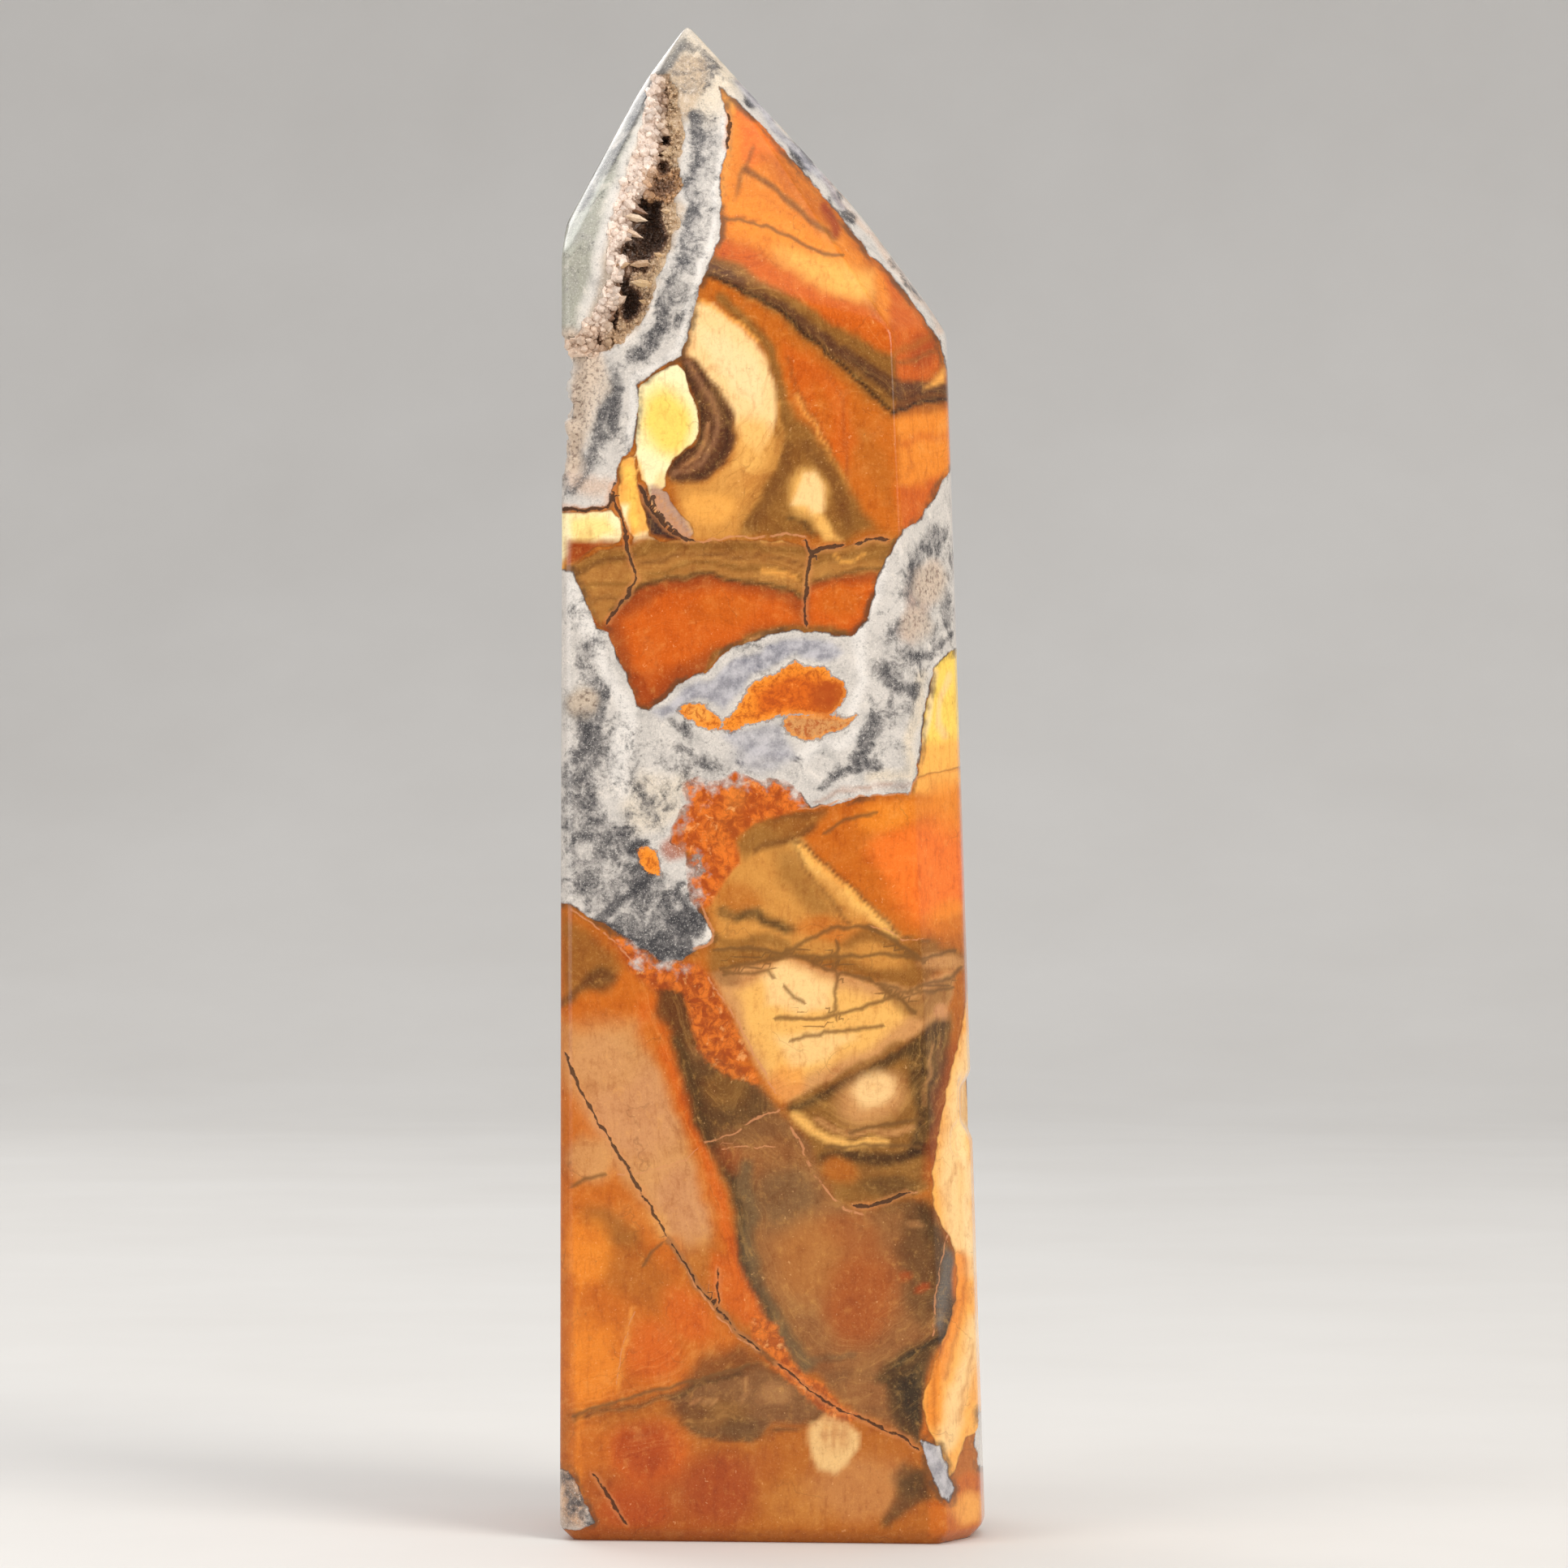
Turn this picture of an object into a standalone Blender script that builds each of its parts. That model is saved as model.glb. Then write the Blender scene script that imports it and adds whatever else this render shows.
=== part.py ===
"""Polished brecciated quartz: one ground and polished stone tower with a crystal lined pocket.

Metres, +Z up. The tower stands on its flat foot with the origin at the middle of the foot, and its
broad front face looks along -Y. Directions are degrees turned from the front towards the right.
"""

import math
import random

import bmesh
import bpy
from mathutils import Matrix, Vector, noise

NAME = "polished_brecciated_quartz"
SEED = 7

HEIGHT = 0.240
WIDTH = 0.066
DEPTH = 0.049
FOOT_BEVEL = 0.0020
ARRIS_RADIUS = 0.0005
SHORTEST_ARRIS = 0.0016
POINT_WEAR = 0.0010
GAP = 0.0003

APEX = Vector((-0.0151, 0.0, HEIGHT + POINT_WEAR))
RIGHT_SHOULDER = Vector((0.02675, -0.0056, 0.1902))
LEFT_SHOULDER = Vector((-WIDTH / 2, 0.0, 0.2083))

# Upright faces: direction, lean towards the axis, distance from the axis at the foot
SIDES = {
    "front": (0.0, 1.0, DEPTH / 2),
    "right_front": (64.0, 2.8, 0.03577),
    "right": (90.0, 1.9, WIDTH / 2),
    "right_back": (115.0, 1.4, 0.0282),
    "back": (180.0, 1.0, DEPTH / 2),
    "left_back": (235.0, 0.7, 0.0328),
    "left": (270.0, 0.0, WIDTH / 2),
    "left_front": (318.0, 0.5, 0.0388),
}

# Faces of the point: direction, slope away from upright, a point that the face passes through
POINT = {
    "tip_front": (7.6, 26.5, APEX),
    "tip_right_front": (60.4, 38.1, APEX),
    "tip_right": (95.0, 42.0, APEX),
    "shoulder_right": (88.0, 36.0, RIGHT_SHOULDER),
    "tip_right_back": (125.0, 38.0, APEX),
    "tip_back": (180.0, 25.0, APEX),
    "tip_left_back": (230.0, 34.0, APEX),
    "tip_left": (270.0, 35.0, APEX),
    "shoulder_left": (272.0, 25.6, LEFT_SHOULDER),
    "tip_left_front": (313.0, 34.6, APEX),
}

# The pocket is a lumpy body bent along a line from its lower left end to its upper end
POCKET_FOOT = Vector((-0.0280, -0.0205, 0.1865))
POCKET_BEND = Vector((-0.0165, -0.0230, 0.2000))
POCKET_TOP = Vector((-0.0182, -0.0055, 0.2285))
POCKET_HALF_WIDTH = 0.0058
POCKET_DEPTH = 0.0105
HOLLOW_HALF_WIDTH = 0.0031
HOLLOW_DEPTH = 0.0078
POCKET_SPAN = (0.0, 1.0)
LINING_SPAN = (0.007, 0.993)
HOLLOW_SPAN = (0.10, 0.93)
POCKET_LUMP = 0.0007
LUMP_SIZE = 0.0040

CRYSTALS = 96
CRYSTAL_RADIUS = (0.00055, 0.00095)
CRYSTAL_LENGTH = (0.0020, 0.0030)
CRYSTAL_ROOT = 0.0010
CRYSTAL_TAPER = 0.9
CRYSTAL_SHAFT = 0.6
CRYSTAL_SCATTER = 0.25
BED_SPAN = (-0.86, 0.88)
BED_ARC = (14.0, 166.0)
BED_AIM_DEPTH = 0.35

# Damage on the arrises: middle, half sizes, lump height
BITES = {
    "rough_edge": (Vector((-0.0352, -0.0222, 0.1780)), Vector((0.0040, 0.0050, 0.0098)), 0.0008),
    "right_chip": (Vector((0.0327, -0.0070, 0.0684)), Vector((0.0030, 0.0085, 0.0034)), 0.0004),
    "right_vug": (Vector((0.0306, -0.0105, 0.0622)), Vector((0.0016, 0.0018, 0.0021)), 0.0003),
}

STONE_COLOUR = (0.52, 0.22, 0.06, 1.0)
CRYSTAL_COLOUR = (0.72, 0.60, 0.50, 1.0)


def clear_scene():
    for thing in list(bpy.data.objects):
        bpy.data.objects.remove(thing, do_unlink=True)


def make_material(name, colour, roughness):
    material = bpy.data.materials.new(name)
    material.use_nodes = True
    shader = material.node_tree.nodes["Principled BSDF"]
    shader.inputs["Base Color"].default_value = colour
    shader.inputs["Roughness"].default_value = roughness
    shader.inputs["Metallic"].default_value = 0.0
    return material


def make_collection(name):
    collection = bpy.data.collections.new(name)
    bpy.context.scene.collection.children.link(collection)
    return collection


def make_object(name, bm, collection, material=None):
    mesh = bpy.data.meshes.new(name)
    bmesh.ops.recalc_face_normals(bm, faces=bm.faces)
    bm.to_mesh(mesh)
    bm.free()
    thing = bpy.data.objects.new(name, mesh)
    collection.objects.link(thing)
    if material:
        mesh.materials.append(material)
    return thing


def make_cutter(name, bm, cutters):
    thing = make_object(name, bm, cutters)
    thing.hide_render = True
    thing.display_type = "WIRE"
    return thing


def boolean(thing, cutter, operation):
    modifier = thing.modifiers.new(f"{operation.lower()} {cutter.name}", "BOOLEAN")
    modifier.operation = operation
    modifier.solver = "EXACT"
    modifier.use_self = operation == "UNION"
    modifier.object = cutter


def face_normal(direction, lean):
    turn = math.radians(direction)
    tilt = math.radians(lean)
    level = math.cos(tilt)
    return Vector((math.sin(turn) * level, -math.cos(turn) * level, math.sin(tilt)))


def grind(bm, point, normal):
    """Take off everything beyond one flat face and close the cut."""
    everything = bm.verts[:] + bm.edges[:] + bm.faces[:]
    cut = bmesh.ops.bisect_plane(bm, geom=everything, plane_co=point, plane_no=normal, clear_outer=True)
    rim = [item for item in cut["geom_cut"] if isinstance(item, bmesh.types.BMEdge)]
    if rim:
        bmesh.ops.edgeloop_fill(bm, edges=rim)


def faceted_stone():
    """The tower before any damage: a block ground down face by face, with its foot bevelled."""
    bm = bmesh.new()
    bmesh.ops.create_cube(bm, size=2.0 * HEIGHT)
    bmesh.ops.translate(bm, verts=bm.verts, vec=(0.0, 0.0, HEIGHT))
    for direction, lean, distance in SIDES.values():
        outward = face_normal(direction, 0.0)
        grind(bm, outward * distance, face_normal(direction, lean))
    for direction, slope, point in POINT.values():
        grind(bm, point, face_normal(direction, slope))
    bmesh.ops.remove_doubles(bm, verts=bm.verts, dist=SHORTEST_ARRIS)
    foot = [edge for edge in bm.edges if all(abs(vert.co.z) < GAP for vert in edge.verts)]
    bmesh.ops.bevel(bm, geom=foot, offset=FOOT_BEVEL, segments=1, affect="EDGES")
    return bm


def soften(thing):
    """Round every arris a little, as the polishing wheel does."""
    bevel = thing.modifiers.new("worn arrises", "BEVEL")
    bevel.limit_method = "ANGLE"
    bevel.angle_limit = math.radians(9.0)
    bevel.width = ARRIS_RADIUS
    bevel.segments = 2


def lump(point, height):
    """Smooth seeded bumps and dents of about the given height."""
    return 2.0 * height * noise.noise(point / LUMP_SIZE, noise_basis="PERLIN_ORIGINAL")


def pocket_line(t):
    """Point of the pocket's bent middle line, 0 at its lower left end and 1 at its top."""
    low = POCKET_FOOT.lerp(POCKET_BEND, t)
    high = POCKET_BEND.lerp(POCKET_TOP, t)
    return low.lerp(high, t)


def pocket_frame(t):
    """Middle, across and inward directions of the pocket at one place along it."""
    along = (POCKET_BEND - POCKET_FOOT).lerp(POCKET_TOP - POCKET_BEND, t).normalized()
    inward = Vector((0.0, 1.0, 0.0))
    across = inward.cross(along).normalized()
    return pocket_line(t), across, inward


def span_place(span, height):
    """Place along the pocket's line for a height of -1 to 1 in the unit ball."""
    start, end = span
    return start + (end - start) * (1.0 + height) / 2.0


def pocket_point(unit, half_width, depth, span):
    """Place a point of the unit ball on the lumpy body bent along the pocket."""
    middle, across, inward = pocket_frame(span_place(span, unit.z))
    place = middle + across * unit.x * half_width + inward * unit.y * depth
    outward = (across * unit.x + inward * unit.y).normalized()
    return place + outward * lump(place, POCKET_LUMP)


def pocket_body(half_width, depth, span):
    bm = bmesh.new()
    bmesh.ops.create_icosphere(bm, subdivisions=4, radius=1.0)
    for vert in bm.verts:
        vert.co = pocket_point(vert.co.copy(), half_width, depth, span)
    return bm


def faces_of(verts):
    return list(dict.fromkeys(face for vert in verts for face in vert.link_faces))


def crystal(bm, root, direction, radius, length, turn):
    """One six sided pointed crystal."""
    placing = direction.to_track_quat("Z", "Y").to_matrix() @ Matrix.Rotation(turn, 3, "Z")
    shaft_length = length * CRYSTAL_SHAFT
    shaft = bmesh.ops.create_cone(
        bm,
        cap_ends=True,
        segments=6,
        radius1=radius * CRYSTAL_TAPER,
        radius2=radius,
        depth=shaft_length,
    )
    verts = shaft["verts"]
    bm.normal_update()
    top = [face for face in faces_of(verts) if face.normal.z > 0.9]
    bmesh.ops.translate(bm, verts=verts, vec=(0.0, 0.0, shaft_length / 2.0))
    point = bmesh.ops.poke(bm, faces=top)["verts"][0]
    point.co.z = length
    for vert in verts + [point]:
        vert.co = root + placing @ vert.co


def crystal_bed():
    """Crystals that stand on the hollow's wall and point into it."""
    chance = random.Random(SEED)
    bm = bmesh.new()
    lowest, highest = BED_SPAN
    for index in range(CRYSTALS):
        height = lowest + (highest - lowest) * (index + 0.5) / CRYSTALS
        around = math.radians(chance.uniform(*BED_ARC))
        ring = math.sqrt(1.0 - height * height)
        unit = Vector((ring * math.cos(around), ring * math.sin(around), height))
        wall = pocket_point(unit, HOLLOW_HALF_WIDTH, HOLLOW_DEPTH, HOLLOW_SPAN)
        middle, across, inward = pocket_frame(span_place(HOLLOW_SPAN, height))
        aim = (middle + inward * HOLLOW_DEPTH * BED_AIM_DEPTH - wall).normalized()
        scatter = [chance.uniform(-CRYSTAL_SCATTER, CRYSTAL_SCATTER) for axis in range(3)]
        direction = (aim + Vector(scatter)).normalized()
        length = chance.uniform(*CRYSTAL_LENGTH)
        radius = chance.uniform(*CRYSTAL_RADIUS)
        turn = math.radians(chance.uniform(0.0, 60.0))
        crystal(bm, wall - direction * CRYSTAL_ROOT, direction, radius, length, turn)
    return bm


def lumpy_ball(middle, half_sizes, height):
    bm = bmesh.new()
    bmesh.ops.create_icosphere(bm, subdivisions=3, radius=1.0)
    for vert in bm.verts:
        outward = vert.co.normalized()
        place = middle + Vector([a * b for a, b in zip(outward, half_sizes)])
        vert.co = place + outward * lump(place, height)
    return bm


def build():
    clear_scene()
    stone = make_material("polished_stone", STONE_COLOUR, 0.15)
    druse = make_material("quartz_druse", CRYSTAL_COLOUR, 0.35)
    parts = make_collection(NAME)
    cutters = make_collection(f"{NAME}_cutters")

    tower = make_object("tower", faceted_stone(), parts, stone)
    soften(tower)
    pocket = make_cutter(
        "pocket_cutter", pocket_body(POCKET_HALF_WIDTH, POCKET_DEPTH, POCKET_SPAN), cutters
    )
    boolean(tower, pocket, "DIFFERENCE")
    for name, (middle, half_sizes, height) in BITES.items():
        boolean(tower, make_cutter(name, lumpy_ball(middle, half_sizes, height), cutters), "DIFFERENCE")

    lining = pocket_body(POCKET_HALF_WIDTH - GAP, POCKET_DEPTH - GAP, LINING_SPAN)
    crust = make_object("crystal_crust", lining, parts, druse)
    hollow = make_cutter(
        "hollow_cutter", pocket_body(HOLLOW_HALF_WIDTH, HOLLOW_DEPTH, HOLLOW_SPAN), cutters
    )
    crystals = make_cutter("crystals", crystal_bed(), cutters)
    envelope = make_cutter("envelope", faceted_stone(), cutters)
    soften(envelope)
    boolean(crust, hollow, "DIFFERENCE")
    boolean(crust, crystals, "UNION")
    boolean(crust, envelope, "INTERSECT")


build()
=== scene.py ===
"""Look of the polished brecciated quartz tower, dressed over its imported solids."""

import math

import bmesh
import bpy
import numpy as np
from mathutils import Matrix, Vector, noise


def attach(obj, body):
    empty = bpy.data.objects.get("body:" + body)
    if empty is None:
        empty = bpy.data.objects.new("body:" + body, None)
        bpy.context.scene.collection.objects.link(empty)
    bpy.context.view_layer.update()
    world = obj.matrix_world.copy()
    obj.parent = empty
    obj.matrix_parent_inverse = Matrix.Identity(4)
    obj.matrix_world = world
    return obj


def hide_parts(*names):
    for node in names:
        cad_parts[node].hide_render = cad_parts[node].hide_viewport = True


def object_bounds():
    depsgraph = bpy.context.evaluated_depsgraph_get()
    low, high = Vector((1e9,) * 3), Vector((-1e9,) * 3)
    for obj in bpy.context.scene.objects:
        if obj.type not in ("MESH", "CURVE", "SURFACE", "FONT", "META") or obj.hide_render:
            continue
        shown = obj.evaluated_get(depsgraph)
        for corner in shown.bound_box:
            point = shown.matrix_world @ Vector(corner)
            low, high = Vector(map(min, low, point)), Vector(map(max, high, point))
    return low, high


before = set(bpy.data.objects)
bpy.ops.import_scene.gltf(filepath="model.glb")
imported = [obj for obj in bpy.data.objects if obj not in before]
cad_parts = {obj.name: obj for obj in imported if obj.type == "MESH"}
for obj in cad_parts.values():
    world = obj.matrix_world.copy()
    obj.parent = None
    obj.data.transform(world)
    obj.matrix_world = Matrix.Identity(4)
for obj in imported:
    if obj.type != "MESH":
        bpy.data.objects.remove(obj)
CAD_LOW, CAD_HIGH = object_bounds()

# Lengths are in metres, unless a comment says millimetres or pixels of the picture
MM = 0.001
FAR = 1e9
UP = np.array([0.0, 0.0, 1.0])
HEIGHT = CAD_HIGH.z
DEPTH = CAD_HIGH.y - CAD_LOW.y

# Ground faces, as the solid has them: direction from the front, lean, distance from the axis or a point
APEX = np.array([-0.0151, 0.0, 0.2408])
RIGHT_SHOULDER = np.array([0.02675, -0.0056, 0.1902])
LEFT_SHOULDER = np.array([-0.033, 0.0, 0.2083])
SIDES = [
    (0.0, 1.0, 0.0245),
    (64.0, 2.8, 0.03577),
    (90.0, 1.9, 0.0330),
    (115.0, 1.4, 0.0282),
    (180.0, 1.0, 0.0245),
    (235.0, 0.7, 0.0328),
    (270.0, 0.0, 0.0330),
    (318.0, 0.5, 0.0388),
]
POINT = [
    (7.6, 26.5, APEX),
    (60.4, 38.1, APEX),
    (95.0, 42.0, APEX),
    (88.0, 36.0, RIGHT_SHOULDER),
    (125.0, 38.0, APEX),
    (180.0, 25.0, APEX),
    (230.0, 34.0, APEX),
    (270.0, 35.0, APEX),
    (272.0, 25.6, LEFT_SHOULDER),
    (313.0, 34.6, APEX),
]
FOOT_BEVEL = 0.0020
BEVEL_LEAN = -45.0
ARRIS_SOFTNESS = 0.00022

# The camera stands level with the middle of the tower, turned a little to its right
CAMERA_TURN = 5.0
CAMERA_DISTANCE = 1.0
CAMERA_HEIGHT = 0.1187
CAMERA_ASIDE = 0.00045
PICTURE_SIDE = 1932
PICTURE_MIDDLE = 966
FOCAL_PIXELS = 7694.0
SENSOR_WIDTH = 36.0
NEAREST_SEEN = 0.01
FURTHEST_SEEN = 50.0
PIXEL = CAMERA_DISTANCE / FOCAL_PIXELS

# Edges of the marks: the finest in pixels that the mesh can carry, and the fading of round marks
FINEST_EDGE = 4.5
BLOB_EDGE = 0.12
BLOB_SOFTNESS = 0.36
BLOB_REACH = 1.3


def unit(rows):
    """Directions of length one."""
    return rows / np.linalg.norm(rows, axis=-1, keepdims=True)


def camera_axes():
    turn = math.radians(CAMERA_TURN)
    back = np.array([math.sin(turn), -math.cos(turn), 0.0])
    right = np.array([math.cos(turn), math.sin(turn), 0.0])
    return right, back


def camera_place():
    right, back = camera_axes()
    return back * CAMERA_DISTANCE + right * CAMERA_ASIDE + UP * CAMERA_HEIGHT


def picture_place(points):
    """Picture coordinates, in pixels from the top left, of points on the stone."""
    right, back = camera_axes()
    seen = points - camera_place()
    depth = -(seen @ back)
    across = PICTURE_MIDDLE + FOCAL_PIXELS * (seen @ right) / depth
    down = PICTURE_MIDDLE - FOCAL_PIXELS * seen[:, 2] / depth
    return across, down


def face_plane(direction, lean, place):
    turn = math.radians(direction)
    tilt = math.radians(lean)
    level = np.array([math.sin(turn), -math.cos(turn), 0.0])
    normal = level * math.cos(tilt) + UP * math.sin(tilt)
    point = level * place if np.isscalar(place) else place
    return normal, float(normal @ point)


def stone_planes():
    planes = [face_plane(*side) for side in SIDES + POINT]
    for direction, _, distance in SIDES:
        planes.append(face_plane(direction, BEVEL_LEAN, distance - FOOT_BEVEL))
    return np.array([normal for normal, _ in planes]), np.array([reach for _, reach in planes])


NORMALS, REACHES = stone_planes()


def stone_distance(points):
    """Distance beyond the rounded, faceted surface of the stone, and its slope."""
    beyond = points @ NORMALS.T - REACHES
    high = beyond.max(axis=1, keepdims=True)
    weight = np.exp((beyond - high) / ARRIS_SOFTNESS)
    total = weight.sum(axis=1, keepdims=True)
    return (high + ARRIS_SOFTNESS * np.log(total))[:, 0], (weight / total) @ NORMALS


def srgb(red, green, blue):
    """Linear colour of a given 0 to 255 colour."""
    shares = np.array([red, green, blue]) / 255.0
    return np.where(shares <= 0.04045, shares / 12.92, ((shares + 0.055) / 1.055) ** 2.4)


ORANGE = srgb(196, 102, 24)
BRIGHT_ORANGE = srgb(238, 140, 40)
YELLOW_ORANGE = srgb(248, 176, 82)
RED_ORANGE = srgb(206, 94, 20)
DARK_RED = srgb(160, 62, 16)
RUST = srgb(160, 72, 24)
BROWN = srgb(108, 64, 28)
DARK_BROWN = srgb(50, 31, 17)
UMBER = srgb(92, 56, 34)
MAUVE_BROWN = srgb(150, 104, 72)
BLACK_BROWN = srgb(62, 42, 38)
OLIVE = srgb(138, 92, 38)
DARK_OLIVE = srgb(78, 54, 26)
SLATE = srgb(104, 96, 88)
GOLDEN = srgb(204, 140, 64)
HONEY = srgb(240, 182, 96)
TAN = srgb(204, 146, 88)
CREAM = srgb(250, 208, 144)
PALE_CREAM = srgb(252, 222, 168)
PALE_YELLOW = srgb(254, 240, 188)
YELLOW = srgb(250, 212, 96)
PINK_TAN = srgb(200, 140, 92)
PINK_GREY = srgb(178, 142, 122)
GLOWING = srgb(240, 118, 38)
OCHRE = srgb(172, 116, 54)
WARM_BROWN = srgb(150, 96, 50)
GOLD_BROWN = srgb(172, 108, 50)
RUST_BROWN = srgb(164, 84, 32)
GREY_OLIVE = srgb(108, 86, 56)
BLACK_GREEN = srgb(50, 42, 28)
SPOT_CREAM = srgb(232, 190, 126)
GREY_BROWN = srgb(128, 84, 46)
AMBER = srgb(176, 98, 28)
GREEN_BROWN = srgb(112, 94, 66)
MILK = srgb(206, 199, 191)
SNOW = srgb(228, 222, 215)
WARM_MILK = srgb(222, 206, 182)
WARM_TAN = srgb(186, 158, 126)
PINK_WHITE = srgb(206, 180, 160)
GREY_GREEN = srgb(160, 160, 146)
PALE_GREEN = srgb(196, 198, 184)
DIM_GREY = srgb(112, 110, 106)

# Tones of the quartz: shares of dark speckle, blue grey and sugary crust
SPECKLED = np.array([1.0, 0.0, 0.0])
BLACKENED = np.array([1.8, 0.0, 0.0])
BLUISH = np.array([0.1, 1.0, 0.0])
SUGARY = np.array([0.25, 0.0, 1.0])


def soft_step(value, soft):
    """0 where the value is below -soft, 1 where it is above soft, and a smooth change between."""
    share = np.clip(value / (2.0 * soft) + 0.5, 0.0, 1.0)
    return share * share * (3.0 - 2.0 * share)


def beside(x, y, start, end):
    """Share of a straight piece passed at each place, and the distance from the piece."""
    (ax, ay), (dx, dy) = start, end - start
    share = ((x - ax) * dx + (y - ay) * dy) / (dx * dx + dy * dy + 1e-9)
    along = np.clip(share, 0.0, 1.0)
    return share, np.hypot(x - ax - along * dx, y - ay - along * dy)


def line_distance(x, y, points, closed=False):
    """Distance in pixels from a run of straight pieces."""
    corners = np.array(points, float)
    ends = np.roll(corners, -1, axis=0)
    count = len(corners) if closed else len(corners) - 1
    best = np.full(x.shape, FAR)
    for start, end in zip(corners[:count], ends[:count]):
        _, distance = beside(x, y, start, end)
        best = np.minimum(best, distance)
    return best


def outline_reach(x, y, points):
    """Distance in pixels inside a closed outline, negative outside it."""
    corners = np.array(points, float)
    inside = np.zeros(x.shape, bool)
    for (ax, ay), (bx, by) in zip(corners, np.roll(corners, -1, axis=0)):
        if ay == by:
            continue
        crosses = (ay > y) != (by > y)
        inside ^= crosses & (x < ax + (y - ay) * (bx - ax) / (by - ay))
    distance = line_distance(x, y, points, closed=True)
    return np.where(inside, distance, -distance)


def blob_reach(x, y, middle, half_sizes, turn=0):
    """1 at the middle of a turned oval, 0 on its rim, negative outside."""
    angle = math.radians(turn)
    dx, dy = x - middle[0], y - middle[1]
    across = dx * math.cos(angle) + dy * math.sin(angle)
    down = -dx * math.sin(angle) + dy * math.cos(angle)
    return 1.0 - np.hypot(across / half_sizes[0], down / half_sizes[1])


def around(points, margin):
    """Corners of a box round the points, wider by the margin."""
    corners = np.array(points, float)
    return corners.min(axis=0) - margin, corners.max(axis=0) + margin


def blob(colour, strength, middle, half_sizes, turn=0):
    """A mark that fades out from its middle."""
    box = around([middle], max(half_sizes) * BLOB_REACH)
    return colour, strength, box, lambda x, y: soft_step(
        blob_reach(x, y, middle, half_sizes, turn) - BLOB_EDGE, BLOB_SOFTNESS)


def patch(colour, strength, soft, points):
    """A filled outline with a soft edge, never finer than the mesh can carry."""
    soft = max(soft, FINEST_EDGE)
    return colour, strength, around(points, soft), lambda x, y: soft_step(outline_reach(x, y, points), soft)


def streak(colour, strength, half_width, points):
    """A soft line, softer where it is wider."""
    soft = max(0.7 * half_width + 0.6, 0.55 * FINEST_EDGE)
    box = around(points, half_width + soft)
    return colour, strength, box, lambda x, y: soft_step(half_width - line_distance(x, y, points), soft)


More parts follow.
